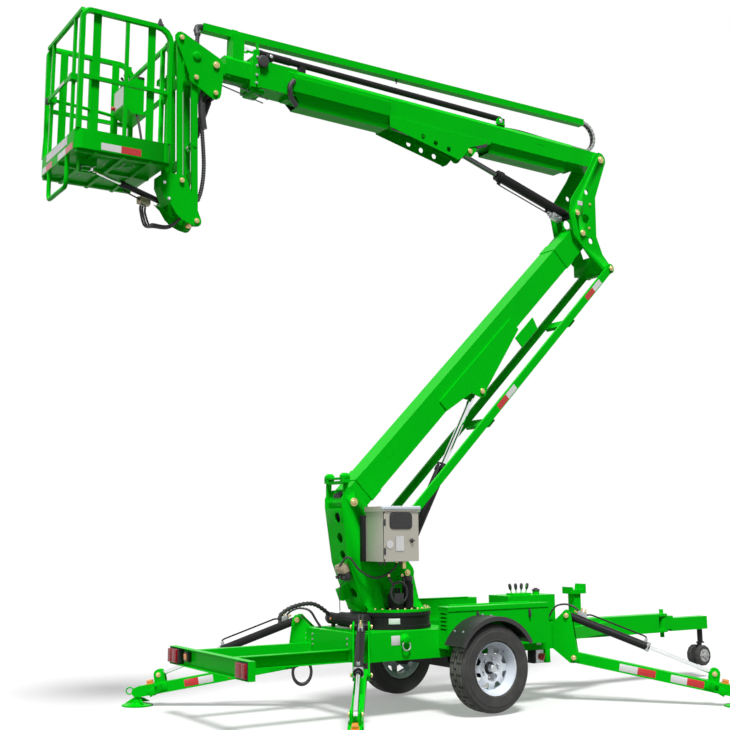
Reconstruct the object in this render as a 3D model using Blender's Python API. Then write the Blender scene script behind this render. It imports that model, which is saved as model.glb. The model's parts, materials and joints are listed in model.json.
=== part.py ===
"""Trailer-mounted articulated boom lift, as an assembly of named pieces.

Metres, +Z up, +X towards the drawbar, +Y to the machine's left side.
Places are given from the wheel axle's centre (x = 0), the machine's middle
(y = 0) and the floor (z = 0). At the end the whole tree of empties is moved,
so that the origin is under the middle of the machine's bounding box.
"""

import math

import bmesh
import bpy
from mathutils import Matrix, Vector

# ---------------------------------------------------------------- driving sizes
SEAT = 0.0003  # gap between faces that touch
THRUST = 0.0006  # gap between an eye's end and the plate that it turns against
PIN_PLAY = 0.0018  # added to a bore's radius
SLIDE_PLAY = 0.0008  # round a rod or a boom that only slides

TYRE_RADIUS = 0.340
TYRE_WIDTH = 0.200
RIM_RADIUS = 0.205
TRACK_HALF = 0.660
AXLE_Z = 0.352
WHEEL_SIDES = 24  # facets round a tyre and its rim

BEAM_Y = 0.390  # middle of each side beam
BEAM_WIDTH = 0.060
BEAM_LOW = 0.430
BEAM_HIGH = 0.645
FRAME_REAR = -1.067
FRAME_FRONT = 1.020
DRAWBAR_WIDTH = 0.120
DRAWBAR_LOW = 0.450
DRAWBAR_HIGH = 0.620
NOSE_HINGE_X = 2.640
NOSE_LENGTH = 0.580

LIGHT_BAR_X = -2.073
LIGHT_BAR_HALF = 0.690
LIGHT_BAR_TOP = 0.535
LIGHT_BAR_DEPTH = 0.135
LIGHT_ARM_Y = 0.324

HOUSING_BACK = -0.310
HOUSING_FRONT = 0.730
HOUSING_IN = 0.4203
HOUSING_OUT = 0.550
HOUSING_LOW = 0.500
HOUSING_HIGH = 0.815
WALL = 0.004

SLEW_X = -0.490
RING_RADIUS = 0.330
RING_HIGH = 0.7797

PLATE = 0.015  # thickness of the turret's and the elbow's side plates
CHEEK_IN = 0.125  # inner face of those side plates
LINK_IN = 0.152  # inner face of each parallel link
LINK_THICK = 0.028
LINK_DEPTH = 0.070

LOWER_PIN = Vector((-0.931, 0, 1.645))  # turret to lower boom
LOWER_LENGTH = 3.678
LOWER_ANGLE = math.radians(44.8)
LOWER_HALF_WIDTH = 0.100
LOWER_DEPTH = 0.220
BOOM_WALL = 0.008
LOWER_DROP = 0.020  # the beam's middle lies this far under the line of its pins
LINK_OFFSET = Vector((0.319, 0, -0.321))  # from a boom pin to the link pin under it
TOP_OFFSET = Vector((0.279, 0, 0.786))  # from the elbow's boom pin to its top pin

UPPER_ANGLE = math.radians(1.5)
UPPER_LENGTH = 3.820  # top pin to the collar's front face
UPPER_HALF_WIDTH = 0.112
INNER_HALF_WIDTH = 0.085
INNER_HALF_DEPTH = 0.105

PIN = 0.025  # radius of the main pins

# ---------------------------------------------------------------- places worked out
LOWER_DIR = Vector((math.cos(LOWER_ANGLE), 0, math.sin(LOWER_ANGLE)))
LOWER_UP = Vector((-math.sin(LOWER_ANGLE), 0, math.cos(LOWER_ANGLE)))
ELBOW_PIN = LOWER_PIN + LOWER_LENGTH * LOWER_DIR
LINK_LOW_PIN = LOWER_PIN + LINK_OFFSET
LINK_TOP_PIN = ELBOW_PIN + LINK_OFFSET
TOP_PIN = ELBOW_PIN + TOP_OFFSET
UPPER_DIR = Vector((-math.cos(UPPER_ANGLE), 0, math.sin(UPPER_ANGLE)))
UPPER_UP = Vector((math.sin(UPPER_ANGLE), 0, math.cos(UPPER_ANGLE)))


def on_lower(along, up, y=0.0):
    """A point of the lower boom: along its pins' line, and up from that line."""
    return LOWER_PIN + along * LOWER_DIR + up * LOWER_UP + Vector((0, y, 0))


def on_upper(along, up, y=0.0):
    """A point of the upper boom: along from its root pin, and up from its middle line."""
    return TOP_PIN + along * UPPER_DIR + up * UPPER_UP + Vector((0, y, 0))


# ---------------------------------------------------------------- materials
def paint(name, colour, roughness, metallic=0.0):
    material = bpy.data.materials.new(name)
    material.use_nodes = True
    shader = material.node_tree.nodes["Principled BSDF"]
    shader.inputs["Base Color"].default_value = (*colour, 1)
    shader.inputs["Roughness"].default_value = roughness
    shader.inputs["Metallic"].default_value = metallic
    return material


def clear_scene():
    for thing in list(bpy.data.objects):
        bpy.data.objects.remove(thing, do_unlink=True)


# ---------------------------------------------------------------- shapes
def closed_mesh(shape):
    bmesh.ops.recalc_face_normals(shape, faces=shape.faces)
    mesh = bpy.data.meshes.new("shape")
    shape.to_mesh(mesh)
    shape.free()
    return mesh


def block(x, y, z):
    """A box between two values on each axis."""
    shape = bmesh.new()
    bmesh.ops.create_cube(shape, size=1)
    size = Vector((x[1] - x[0], y[1] - y[0], z[1] - z[0]))
    middle = Vector((x[0] + x[1], y[0] + y[1], z[0] + z[1])) / 2
    for vertex in shape.verts:
        vertex.co = Vector(a * b for a, b in zip(vertex.co, size)) + middle
    return closed_mesh(shape)


def frame_along(start, end, side=Vector((0, 1, 0))):
    """Axes for a straight piece: its direction, a level side and its own up."""
    along = (end - start).normalized()
    across = (side - side.dot(along) * along).normalized()
    return along, across, along.cross(across)


def bar(start, end, width, depth, side=Vector((0, 1, 0))):
    """A bar of rectangular section between two points; width lies along side."""
    start, end = Vector(start), Vector(end)
    along, across, up = frame_along(start, end, side)
    shape = bmesh.new()
    rings = []
    for point in (start, end):
        corners = ((-1, -1), (1, -1), (1, 1), (-1, 1))
        rings.append([
            shape.verts.new(point + across * a * width / 2 + up * b * depth / 2) for a, b in corners
        ])
    shape.faces.new(rings[0])
    shape.faces.new(rings[1])
    for i in range(4):
        j = (i + 1) % 4
        shape.faces.new((rings[0][i], rings[0][j], rings[1][j], rings[1][i]))
    return closed_mesh(shape)


def turned(start, end, profile, sides=16):
    """A solid turned about the line from start to end; profile is (radius, distance) pairs."""
    start, end = Vector(start), Vector(end)
    side = Vector((0, 0, 1)) if abs((end - start).normalized().z) < 0.9 else Vector((0, 1, 0))
    along, across, up = frame_along(start, end, side)
    shape = bmesh.new()
    rings = []
    for radius, distance in profile:
        middle = start + along * distance
        if radius == 0:
            rings.append([shape.verts.new(middle)])
            continue
        rings.append([
            shape.verts.new(
                middle
                + across * radius * math.cos(2 * math.pi * (i + 0.5) / sides)
                + up * radius * math.sin(2 * math.pi * (i + 0.5) / sides)
            )
            for i in range(sides)
        ])
    for first, second in zip(rings, rings[1:] + rings[:1]):
        if len(first) == 1 and len(second) == 1:
            continue
        for i in range(sides):
            j = (i + 1) % sides
            corners = [first[i % len(first)], first[j % len(first)]]
            corners += [second[j % len(second)], second[i % len(second)]]
            shape.faces.new(tuple(dict.fromkeys(corners)))
    return closed_mesh(shape)


def rod(start, end, radius, sides=12):
    length = (Vector(end) - Vector(start)).length
    return turned(start, end, [(0, 0), (radius, 0), (radius, length), (0, length)], sides)


def cross_pin(place, half_length, radius=PIN, sides=10):
    """A pin along Y through a point of the machine's middle plane."""
    place = Vector(place)
    reach = Vector((0, half_length, 0))
    return rod(place - reach, place + reach, radius, sides)


def arc(centre, radius, from_degrees, to_degrees, steps=6):
    """Points (x, z) on an arc, in degrees from +X towards +Z."""
    points = []
    for i in range(steps + 1):
        angle = math.radians(from_degrees + (to_degrees - from_degrees) * i / steps)
        points.append((centre[0] + radius * math.cos(angle), centre[-1] + radius * math.sin(angle)))
    return points


def plate(outline, y):
    """A flat plate: an outline of (x, z) points, thick from y[0] to y[1]."""
    shape = bmesh.new()
    rings = [[shape.verts.new((x, level, z)) for x, z in outline] for level in y]
    shape.faces.new(rings[0])
    shape.faces.new(reversed(rings[1]))
    for i in range(len(outline)):
        j = (i + 1) % len(outline)
        shape.faces.new((rings[0][i], rings[0][j], rings[1][j], rings[1][i]))
    return closed_mesh(shape)


def loft(sections):
    """A closed solid through sections, each a list of as many points."""
    shape = bmesh.new()
    rings = [[shape.verts.new(point) for point in section] for section in sections]
    shape.faces.new(rings[0])
    shape.faces.new(reversed(rings[-1]))
    for first, second in zip(rings, rings[1:]):
        for i in range(len(first)):
            j = (i + 1) % len(first)
            shape.faces.new((first[i], first[j], second[j], second[i]))
    return closed_mesh(shape)


def moved(mesh, matrix):
    mesh.transform(matrix)
    if matrix.determinant() < 0:
        mesh.flip_normals()
    return mesh


# ---------------------------------------------------------------- nodes and bodies
def helper(mesh, collection):
    thing = bpy.data.objects.new("helper", mesh)
    collection.objects.link(thing)
    return thing


def boolean(thing, collection, operation):
    modifier = thing.modifiers.new(operation, "BOOLEAN")
    modifier.operation = operation
    modifier.operand_type = "COLLECTION"
    modifier.collection = collection
    modifier.solver = "MANIFOLD"


def fused(shapes, cuts=()):
    """One mesh: the first shape, joined with the others, less the cuts."""
    scene = bpy.context.scene.collection
    base = helper(shapes[0], scene)
    groups = []
    for operation, meshes in (("UNION", shapes[1:]), ("DIFFERENCE", cuts)):
        if not meshes:
            continue
        group = bpy.data.collections.new(operation)
        scene.children.link(group)
        for mesh in meshes:
            helper(mesh, group)
        boolean(base, group, operation)
        groups.append(group)
    graph = bpy.context.evaluated_depsgraph_get()
    result = bpy.data.meshes.new_from_object(base.evaluated_get(graph), depsgraph=graph)
    for group in groups:
        for thing in list(group.objects):
            bpy.data.objects.remove(thing, do_unlink=True)
        bpy.data.collections.remove(group)
    bpy.data.objects.remove(base, do_unlink=True)
    shape = bmesh.new()
    shape.from_mesh(result)
    bmesh.ops.remove_doubles(shape, verts=shape.verts, dist=2e-6)
    bmesh.ops.dissolve_degenerate(shape, edges=shape.edges, dist=2e-6)
    bmesh.ops.dissolve_limit(
        shape, angle_limit=math.radians(0.05), verts=shape.verts, edges=shape.edges
    )
    shape.to_mesh(result)
    shape.free()
    return result


BODIES = {}


def body(name, place, parent="root"):
    """An empty on a joint's axis, which carries the pieces that move together."""
    empty = bpy.data.objects.new(name + "_axis", None)
    bpy.context.scene.collection.objects.link(empty)
    place = Vector(place)
    if parent in BODIES:
        empty.parent = BODIES[parent]["empty"]
        empty.location = place - BODIES[parent]["place"]
    else:
        empty.location = place
    BODIES[name] = {"empty": empty, "place": place}


def node(name, body_name, material, shapes, cuts=()):
    """A named piece, fused from its shapes, that rides on a body."""
    mesh = fused(shapes, cuts)
    carrier = BODIES[body_name]
    mesh.transform(Matrix.Translation(-carrier["place"]))
    mesh.name = name
    mesh.materials.clear()
    mesh.materials.append(material)
    mesh.shade_smooth()
    mesh.set_sharp_from_angle(angle=math.radians(32))
    thing = bpy.data.objects.new(name, mesh)
    bpy.context.scene.collection.objects.link(thing)
    thing.parent = carrier["empty"]
    return thing


# ---------------------------------------------------------------- chassis
SIDES = {"left": 1, "right": -1}

# Outriggers: name, corner x and y on the frame, and the way the leg points, in
# degrees from +X. The legs swing to these places and are pinned there.
OUTRIGGERS = (
    ("front_right", 0.960, -0.430, -47),
    ("front_left", 0.960, 0.430, 45),
    ("rear_right", -1.040, -0.430, -124),
    ("rear_left", -1.040, 0.430, 139),
)
CHEEK_GAP = 0.104  # between the two plates of an outrigger's bracket
CHEEK_PLATE = 0.012
LEG_PIN_REACH = 0.110  # bracket pins, out from the corner
LEG_PIN_Z = 0.360
CYLINDER_PIN_REACH = 0.060
CYLINDER_PIN_Z = 0.705
LEG_LENGTH = 1.340  # leg pin to foot pin
LEG_SECTION = 0.086
FOOT_PIN_Z = 0.110
LUG_ALONG = 1.130  # rod's pin: along the leg from its pin, and up from it
LUG_UP = 0.105
PAD_RADIUS = 0.130
SMALL_PIN = 0.014


def outrigger_axes(x, y, degrees):
    """Corner, level direction out along the leg, and level side direction."""
    out = Vector((math.cos(math.radians(degrees)), math.sin(math.radians(degrees)), 0))
    return Vector((x, y, 0)), out, Vector((-out.y, out.x, 0))


def outrigger_matrix(x, y, degrees):
    """Takes a shape drawn in the XZ plane, +X out along the leg, to its corner."""
    turn = Matrix.Rotation(math.radians(degrees), 4, "Z")
    return Matrix.Translation(Vector((x, y, 0))) @ turn


def bracket_shapes(x, y, degrees):
    """Two plates with the leg's and the cylinder's pins, and the web that carries them."""
    to_corner = outrigger_matrix(x, y, degrees)
    outline = [(-0.060, BEAM_LOW), (LEG_PIN_REACH - 0.030, LEG_PIN_Z - 0.045)]
    outline += arc((LEG_PIN_REACH, LEG_PIN_Z), 0.045, -80, 40, 3)
    outline += arc((CYLINDER_PIN_REACH, CYLINDER_PIN_Z), 0.042, 20, 160, 3)
    outline += [(-0.060, BEAM_HIGH)]
    shapes = []
    for side in SIDES.values():
        inner, outer = CHEEK_GAP / 2, CHEEK_GAP / 2 + CHEEK_PLATE
        faces = (side * inner, side * outer) if side > 0 else (side * outer, side * inner)
        shapes.append(moved(plate(outline, faces), to_corner))
    web = block((-0.070, -0.030), (-CHEEK_GAP / 2 - 0.005, CHEEK_GAP / 2 + 0.005), (BEAM_LOW, BEAM_HIGH))
    shapes.append(moved(web, to_corner))
    half = CHEEK_GAP / 2 + CHEEK_PLATE + 0.010
    for reach, height in ((LEG_PIN_REACH, LEG_PIN_Z), (CYLINDER_PIN_REACH, CYLINDER_PIN_Z)):
        pin = cross_pin((reach, 0, height), half, SMALL_PIN, 8)
        shapes.append(moved(pin, to_corner))
    return shapes


def make_chassis(green):
    shapes = []
    half = BEAM_WIDTH / 2
    for side in SIDES.values():
        near, far = sorted((side * (BEAM_Y - half), side * (BEAM_Y + half)))
        shapes.append(block((FRAME_REAR, FRAME_FRONT), (near, far), (BEAM_LOW, BEAM_HIGH)))
    reach = BEAM_Y - half + 0.002
    for start, end, low, high in (
        (FRAME_REAR, FRAME_REAR + 0.060, BEAM_LOW, BEAM_HIGH),
        (-0.880, -0.800, BEAM_LOW, BEAM_HIGH),
        (-0.180, -0.100, BEAM_LOW, BEAM_HIGH),
        (0.430, 0.490, BEAM_LOW + 0.080, BEAM_HIGH),
        (FRAME_FRONT - 0.070, FRAME_FRONT, BEAM_LOW, BEAM_HIGH),
    ):
        shapes.append(block((start, end), (-reach, reach), (low, high)))
    shapes.append(block((-0.900, -0.080), (-reach, reach), (BEAM_HIGH - 0.020, BEAM_HIGH)))
    half_bar = DRAWBAR_WIDTH / 2
    shapes.append(
        block(
            (FRAME_FRONT - 0.600, NOSE_HINGE_X - 0.100),
            (-half_bar, half_bar),
            (DRAWBAR_LOW, DRAWBAR_HIGH),
        )
    )
    for side in SIDES.values():  # the two struts of the A-frame
        shapes.append(
            bar(
                (FRAME_FRONT - 0.020, side * (BEAM_Y - 0.030), 0.530),
                (1.900, side * (half_bar - 0.010), 0.530),
                0.060,
                0.100,
            )
        )
    for low, high in ((DRAWBAR_LOW, DRAWBAR_LOW + 0.022), (DRAWBAR_HIGH - 0.022, DRAWBAR_HIGH)):
        outline = block((NOSE_HINGE_X - 0.120, NOSE_HINGE_X), (-0.055, 0.055), (low, high))
        shapes.append(outline)
        shapes.append(rod((NOSE_HINGE_X, 0, low), (NOSE_HINGE_X, 0, high), 0.055, 14))
    shapes.append(rod((NOSE_HINGE_X, 0, 0.400), (NOSE_HINGE_X, 0, 0.660), 0.020, 12))
    for _name, x, y, degrees in OUTRIGGERS:
        shapes += bracket_shapes(x, y, degrees)
    # post that the folded links lie over, with its hooked top
    shapes.append(block((1.490, 1.570), (-0.040, 0.040), (DRAWBAR_HIGH - 0.010, 0.850)))
    hook = [(1.440, 0.845), (1.620, 0.845), (1.620, 0.930), (1.600, 0.930), (1.590, 0.880)]
    hook += [(1.470, 0.880), (1.460, 0.905), (1.440, 0.905)]
    shapes.append(plate(hook, (-0.060, 0.060)))
    node("chassis_frame", "root", green, shapes)


def make_light_bar(green):
    """C-channel across the rear, open to the back, on two arms from the rear plate."""
    low = LIGHT_BAR_TOP - LIGHT_BAR_DEPTH
    reach = LIGHT_BAR_HALF
    shapes = [block((LIGHT_BAR_X - 0.050, LIGHT_BAR_X + 0.006), (-reach, reach), (low, LIGHT_BAR_TOP))]
    cuts = [
        block(
            (LIGHT_BAR_X - 0.060, LIGHT_BAR_X),
            (-reach + 0.005, reach - 0.005),
            (low + 0.005, LIGHT_BAR_TOP - 0.005),
        )
    ]
    for side in SIDES.values():
        middle = side * LIGHT_ARM_Y
        shapes.append(
            block(
                (LIGHT_BAR_X, FRAME_REAR - SEAT),
                (middle - 0.030, middle + 0.030),
                (LIGHT_BAR_TOP - 0.100, LIGHT_BAR_TOP - 0.005),
            )
        )
        cuts.append(
            block(
                (LIGHT_BAR_X + 0.020, FRAME_REAR - 0.020),
                sorted((middle - side * 0.024, middle + side * 0.040)),
                (LIGHT_BAR_TOP - 0.094, LIGHT_BAR_TOP - 0.011),
            )
        )
    node("rear_light_bar", "root", green, shapes, cuts)


def make_axle(grey):
    beam_z = 0.385
    shapes = [block((-0.210, -0.130), (-0.500, 0.500), (beam_z - 0.040, beam_z + 0.040))]
    for side in SIDES.values():
        near, far = sorted((side * 0.4235, side * 0.3565))
        shapes.append(block((-0.230, -0.110), (near, far), (beam_z, BEAM_LOW - SEAT)))
        shapes.append(bar((-0.170, side * 0.480, beam_z), (0.010, side * 0.480, AXLE_Z), 0.036, 0.070))
        shapes.append(rod((0, side * 0.470, AXLE_Z), (0, side * 0.600, AXLE_Z), 0.030, 12))
        hub = [(0, 0), (0.085, 0), (0.085, 0.045), (0.060, 0.060), (0.060, 0.075), (0, 0.075)]
        start = Vector((0, side * 0.530, AXLE_Z))
        shapes.append(turned(start, start + Vector((0, side, 0)), hub, 14))
    node("axle_beam", "root", grey, shapes)


def make_wheels(rubber, white):
    hub_face = 0.605 + SEAT
    for name, side in SIDES.items():
        centre = Vector((0, side * TRACK_HALF, AXLE_Z))
        body("wheel_" + name, centre)
        outward = centre + Vector((0, side, 0))
        half = TYRE_WIDTH / 2
        inner = RIM_RADIUS + SEAT
        profile = [
            (inner, -0.086), (inner + 0.020, -half + 0.004), (0.280, -half),
            (TYRE_RADIUS, -half + 0.042), (TYRE_RADIUS, half - 0.042),
            (0.280, half), (inner + 0.020, half - 0.004), (inner, 0.086),
        ]
        tyre = turned(centre, outward, profile, WHEEL_SIDES)
        node("tyre_" + name, "wheel_" + name, rubber, [tyre])
        disc = hub_face - TRACK_HALF
        rim = [
            (RIM_RADIUS, -0.092), (RIM_RADIUS, -0.086), (0.168, -0.045), (0.168, 0.030),
            (RIM_RADIUS, 0.086), (RIM_RADIUS, 0.092), (0.158, 0.026), (0.120, 0.014),
            (0.095, disc + 0.012), (0.030, disc + 0.008), (0.030, disc), (0.100, disc),
            (0.126, 0.004), (0.162, -0.040),
        ]
        cuts = []
        for i in range(8):
            angle = math.radians(45 * i + 22.5)
            place = centre + Vector((0.137 * math.cos(angle), 0, 0.137 * math.sin(angle)))
            reach = Vector((0, side * 0.050, 0))
            cuts.append(rod(place - reach, place + reach, 0.017, 8))
        disc_shape = turned(centre, outward, rim, WHEEL_SIDES)
        node("rim_" + name, "wheel_" + name, white, [disc_shape], cuts)


def make_fenders(black):
    """A half-round guard over each wheel, with a lip turned down on its outer edge."""
    radius = 0.400
    for name, side in SIDES.items():
        band = arc((0, AXLE_Z), radius, 28, 152, 14) + arc((0, AXLE_Z), radius - 0.008, 152, 28, 14)
        lip = arc((0, AXLE_Z), radius, 28, 152, 14) + arc((0, AXLE_Z), radius - 0.034, 152, 28, 14)
        inner, outer = HOUSING_OUT + SEAT, TRACK_HALF + TYRE_WIDTH / 2 + 0.025
        shapes = [
            plate(band, sorted((side * inner, side * outer))),
            plate(lip, sorted((side * (outer - 0.008), side * outer))),
        ]
        node("fender_" + name, "root", black, shapes)


def make_housings(green):
    """Slim side housings on the frame, open inside, with slotted rear ends and hinged lids."""
    for name, side in SIDES.items():
        inner, outer = side * HOUSING_IN, side * HOUSING_OUT
        shapes = [
            block((HOUSING_BACK, HOUSING_FRONT), sorted((inner, outer)), (HOUSING_LOW, HOUSING_HIGH))
        ]
        cuts = [
            block(
                (HOUSING_BACK + WALL, HOUSING_FRONT - WALL),
                sorted((inner + side * WALL, outer - side * WALL)),
                (HOUSING_LOW + WALL, HOUSING_HIGH + 0.010),
            )
        ]
        for i in range(5):
            height = 0.640 + 0.030 * i
            cuts.append(
                block(
                    (HOUSING_BACK - 0.010, HOUSING_BACK + 0.010),
                    sorted((side * 0.445, side * 0.525)),
                    (height, height + 0.012),
                )
            )
        node("housing_" + name, "root", green, shapes, cuts)
        hinge = Vector((0, side * (HOUSING_IN + 0.004), HOUSING_HIGH + 0.010))
        body("lid_" + name, hinge)
        low = HOUSING_HIGH + SEAT
        lid = [
            block(
                (HOUSING_BACK - 0.006, HOUSING_FRONT + 0.006),
                sorted((hinge.y, side * (HOUSING_OUT + 0.006))),
                (low, low + 0.006),
            )
        ]
        lid.append(
            block(
                (HOUSING_BACK - 0.006, HOUSING_FRONT + 0.006),
                sorted((side * (HOUSING_OUT + 0.0015), side * (HOUSING_OUT + 0.006))),
                (HOUSING_HIGH - 0.028, low + 0.003),
            )
        )
        lid.append(
            rod(
                (HOUSING_BACK + 0.100, hinge.y, hinge.z),
                (HOUSING_FRONT - 0.100, hinge.y, hinge.z),
                0.007,
                10,
            )
        )
        node("housing_lid_" + name, "lid_" + name, green, lid)


def make_tank(green):
    """Oil tank behind the drawbar's root, with the outriggers' four levers on top."""
    low, high = BEAM_HIGH + SEAT, 0.870
    shapes = [
        block((0.480, 1.000), (-0.330, -0.070), (low, high)),
        rod((0.900, -0.200, high - 0.005), (0.900, -0.200, high + 0.025), 0.030, 12),
        block((0.560, 0.760), (-0.300, -0.210), (high - 0.005, high + 0.018)),
    ]
    for i in range(4):
        x = 0.585 + 0.050 * i
        tilt = 0.010 * (i - 1.5)
        shapes.append(rod((x, -0.255, high), (x + tilt, -0.255, high + 0.062), 0.005, 8))
        knob = Vector((x + tilt, -0.255, high + 0.054))
        shapes.append(
            turned(
                knob,
                knob + Vector((0, 0, 1)),
                [(0, 0), (0.008, 0), (0.012, 0.012), (0.010, 0.026), (0, 0.030)],
                10,
            )
        )
    node("hydraulic_tank", "root", green, shapes)


def make_slew(black):
    """Slewing ring on the frame, with its worm and motor across the back."""
    shapes = [
        turned(
            (SLEW_X, 0, BEAM_HIGH + SEAT),
            (SLEW_X, 0, 1),
            [
                (0, 0), (RING_RADIUS, 0), (RING_RADIUS, 0.030), (RING_RADIUS - 0.008, 0.034),
                (RING_RADIUS - 0.008, 0.100), (RING_RADIUS, 0.104),
                (RING_RADIUS, RING_HIGH - BEAM_HIGH - SEAT), (0, RING_HIGH - BEAM_HIGH - SEAT),
            ],
            40,
        ),
        rod((-0.850, -0.170, 0.712), (-0.850, 0.180, 0.712), 0.058, 14),
        block((-0.850, -0.700), (-0.130, 0.130), (0.655, 0.768)),
        rod((-0.850, 0.175, 0.712), (-0.850, 0.330, 0.712), 0.045, 14),
    ]
    node("slew_ring", "root", black, shapes)


# ---------------------------------------------------------------- drawbar nose
def make_nose(green, black, rubber):
    body("drawbar_nose", (NOSE_HINGE_X, 0, 0.535))
    gap_low, gap_high = DRAWBAR_LOW + 0.022 + THRUST, DRAWBAR_HIGH - 0.022 - THRUST
    front = NOSE_HINGE_X + NOSE_LENGTH
    shapes = [
        rod((NOSE_HINGE_X, 0, gap_low), (NOSE_HINGE_X, 0, gap_high), 0.050, 14),
        block((NOSE_HINGE_X, NOSE_HINGE_X + 0.110), (-0.045, 0.045), (gap_low, gap_high)),
        block((NOSE_HINGE_X + 0.080, front), (-0.050, 0.050), (0.455, 0.575)),
    ]
    cuts = [rod((NOSE_HINGE_X, 0, 0.40), (NOSE_HINGE_X, 0, 0.70), 0.020 + PIN_PLAY, 12)]
    node("drawbar_nose", "drawbar_nose", green, shapes, cuts)
    x = front - 0.060
    wheel_z = 0.206
    axle_x = x - 0.030
    body("jockey_fork", (x, 0, 0.30), "drawbar_nose")
    shapes = [
        rod((x, 0, 0.325), (x, 0, 0.455 - SEAT), 0.026, 12),
        block((x - 0.040, x + 0.040), (-0.015, 0.015), (0.318, 0.332)),
        bar((x - 0.010, 0, 0.325), (axle_x, 0, wheel_z), 0.030, 0.036),
        cross_pin((axle_x, 0, wheel_z), 0.024 - THRUST, 0.024),
    ]
    cuts = [cross_pin((axle_x, 0, wheel_z), 0.030, 0.010 + PIN_PLAY, 12)]
    node("jockey_fork", "jockey_fork", black, shapes, cuts)
    body("jockey_wheels", (axle_x, 0, wheel_z), "jockey_fork")
    shapes = [cross_pin((axle_x, 0, wheel_z), 0.080, 0.010, 12)]
    for side in SIDES.values():
        start = Vector((axle_x, side * 0.024, wheel_z))
        profile = [(0, 0), (0.088, 0), (0.098, 0.010), (0.098, 0.038), (0.088, 0.048)]
        profile += [(0, 0.048)]
        shapes.append(turned(start, start + Vector((0, side, 0)), profile, 12))
    node("jockey_wheels", "jockey_wheels", rubber, shapes)


# ---------------------------------------------------------------- cylinders
BORE_START = 0.050  # from a cylinder's base pin to the closed end of its bore


def make_cylinder(name, parent, base, eye, sizes, closing, eye_half, pin, colours,
                  side=Vector((0, 1, 0)), base_half=None):
    """A hydraulic cylinder between a base pin and its rod's eye.

    Sizes are the barrel's radius, the rod's radius and the barrel's length. The barrel
    turns on the base pin, and the rod can slide in by closing from where it is drawn.
    """
    barrel, rod_radius, length = sizes
    base, eye = Vector(base), Vector(eye)
    along, across, _up = frame_along(base, eye, side)
    black, chrome = colours
    body(name + "_barrel", base, parent)
    reach = across * eye_half
    root = across * (base_half or eye_half)
    profile = [
        (0, 0.018), (barrel * 0.6, 0.018), (barrel, 0.045), (barrel, length - 0.030),
        (barrel + 0.004, length - 0.028), (barrel + 0.004, length), (0, length),
    ]
    shapes = [rod(base - root, base + root, pin + 0.016), turned(base, eye, profile, 12)]
    cuts = [
        rod(base - root * 1.2, base + root * 1.2, pin + PIN_PLAY, 10),
        rod(base + along * BORE_START, base + along * (length * 1.05), rod_radius + SLIDE_PLAY),
    ]
    node(name + "_barrel", name + "_barrel", black, shapes, cuts)
    body(name + "_rod", base, name + "_barrel")
    inner_end = BORE_START + closing + 0.010
    shapes = [
        rod(base + along * inner_end, eye - along * pin, rod_radius),
        rod(eye - reach, eye + reach, pin + 0.010),
    ]
    cuts = [rod(eye - reach * 1.2, eye + reach * 1.2, pin + PIN_PLAY, 10)]
    node(name + "_rod", name + "_rod", chrome, shapes, cuts)


def half_pins(place, inner, outer, radius, side=Vector((0, 1, 0))):
    """A pin's two ends in its plates, left open in the middle for a cylinder's eye."""
    place = Vector(place)
    return [
        rod(place + side * inner * sign, place + side * outer * sign, radius, 10)
        for sign in (1, -1)
    ]


def cheek_pair(outline, inner, outer):
    """Two plates with one outline, on both sides of the machine's middle."""
    return [plate(outline, (inner, outer)), plate(outline, (-outer, -inner))]


# ---------------------------------------------------------------- outriggers
def make_outriggers(green, colours):
    for name, x, y, degrees in OUTRIGGERS:
        corner, out, side = outrigger_axes(x, y, degrees)
        leg_pin = corner + out * LEG_PIN_REACH + Vector((0, 0, LEG_PIN_Z))
        base = corner + out * CYLINDER_PIN_REACH + Vector((0, 0, CYLINDER_PIN_Z))
        fall = math.asin((LEG_PIN_Z - FOOT_PIN_Z) / LEG_LENGTH)
        down_out = out * math.cos(fall) - Vector((0, 0, math.sin(fall)))
        up = out * math.sin(fall) + Vector((0, 0, math.cos(fall)))
        foot_pin = leg_pin + down_out * LEG_LENGTH
        eye = leg_pin + down_out * LUG_ALONG + up * LUG_UP
        body("outrigger_" + name, leg_pin)
        half = CHEEK_GAP / 2 - THRUST
        pad = Vector((foot_pin.x, foot_pin.y, 0))
        shapes = [
            rod(leg_pin - side * half, leg_pin + side * half, LEG_SECTION / 2, 12),
            bar(leg_pin, foot_pin - down_out * 0.010, LEG_SECTION, LEG_SECTION, side),
            rod(foot_pin - side * 0.043, foot_pin + side * 0.043, 0.040, 12),
            turned(
                pad,
                pad + Vector((0, 0, 1)),
                [(0, 0), (PAD_RADIUS, 0), (PAD_RADIUS, 0.010), (0.040, 0.026), (0.030, 0.075),
                 (0.030, 0.105), (0, 0.105)],
                16,
            ),
        ]
        for sign in (1, -1):
            inner, outer = 0.020, 0.030
            foot = eye - up * LUG_UP
            shapes.append(
                bar(
                    foot + side * sign * (inner + outer) / 2,
                    eye + side * sign * (inner + outer) / 2,
                    outer - inner,
                    0.090,
                    side,
                )
            )
            shapes.append(rod(eye + side * sign * inner, eye + side * sign * outer, 0.045, 12))
            shapes.append(rod(eye + side * sign * 0.018, eye + side * sign * 0.038, SMALL_PIN, 8))
        cuts = [rod(leg_pin - side * 0.1, leg_pin + side * 0.1, SMALL_PIN + PIN_PLAY, 12)]
        node("outrigger_leg_" + name, "outrigger_" + name, green, shapes, cuts)
        make_cylinder(
            "outrigger_cylinder_" + name, "root", base, eye, (0.034, 0.017, 0.720), 0.452, 0.014,
            SMALL_PIN, colours, side, base_half=half,
        )


# ---------------------------------------------------------------- turret
CYLINDER_BASE = Vector((-0.420, 0, 1.080))  # lower lift cylinder's pin in the turret
LOWER_EYE_ALONG = 1.655
LOWER_EYE_UP = -0.260
LIFT_PIN = 0.022


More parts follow.
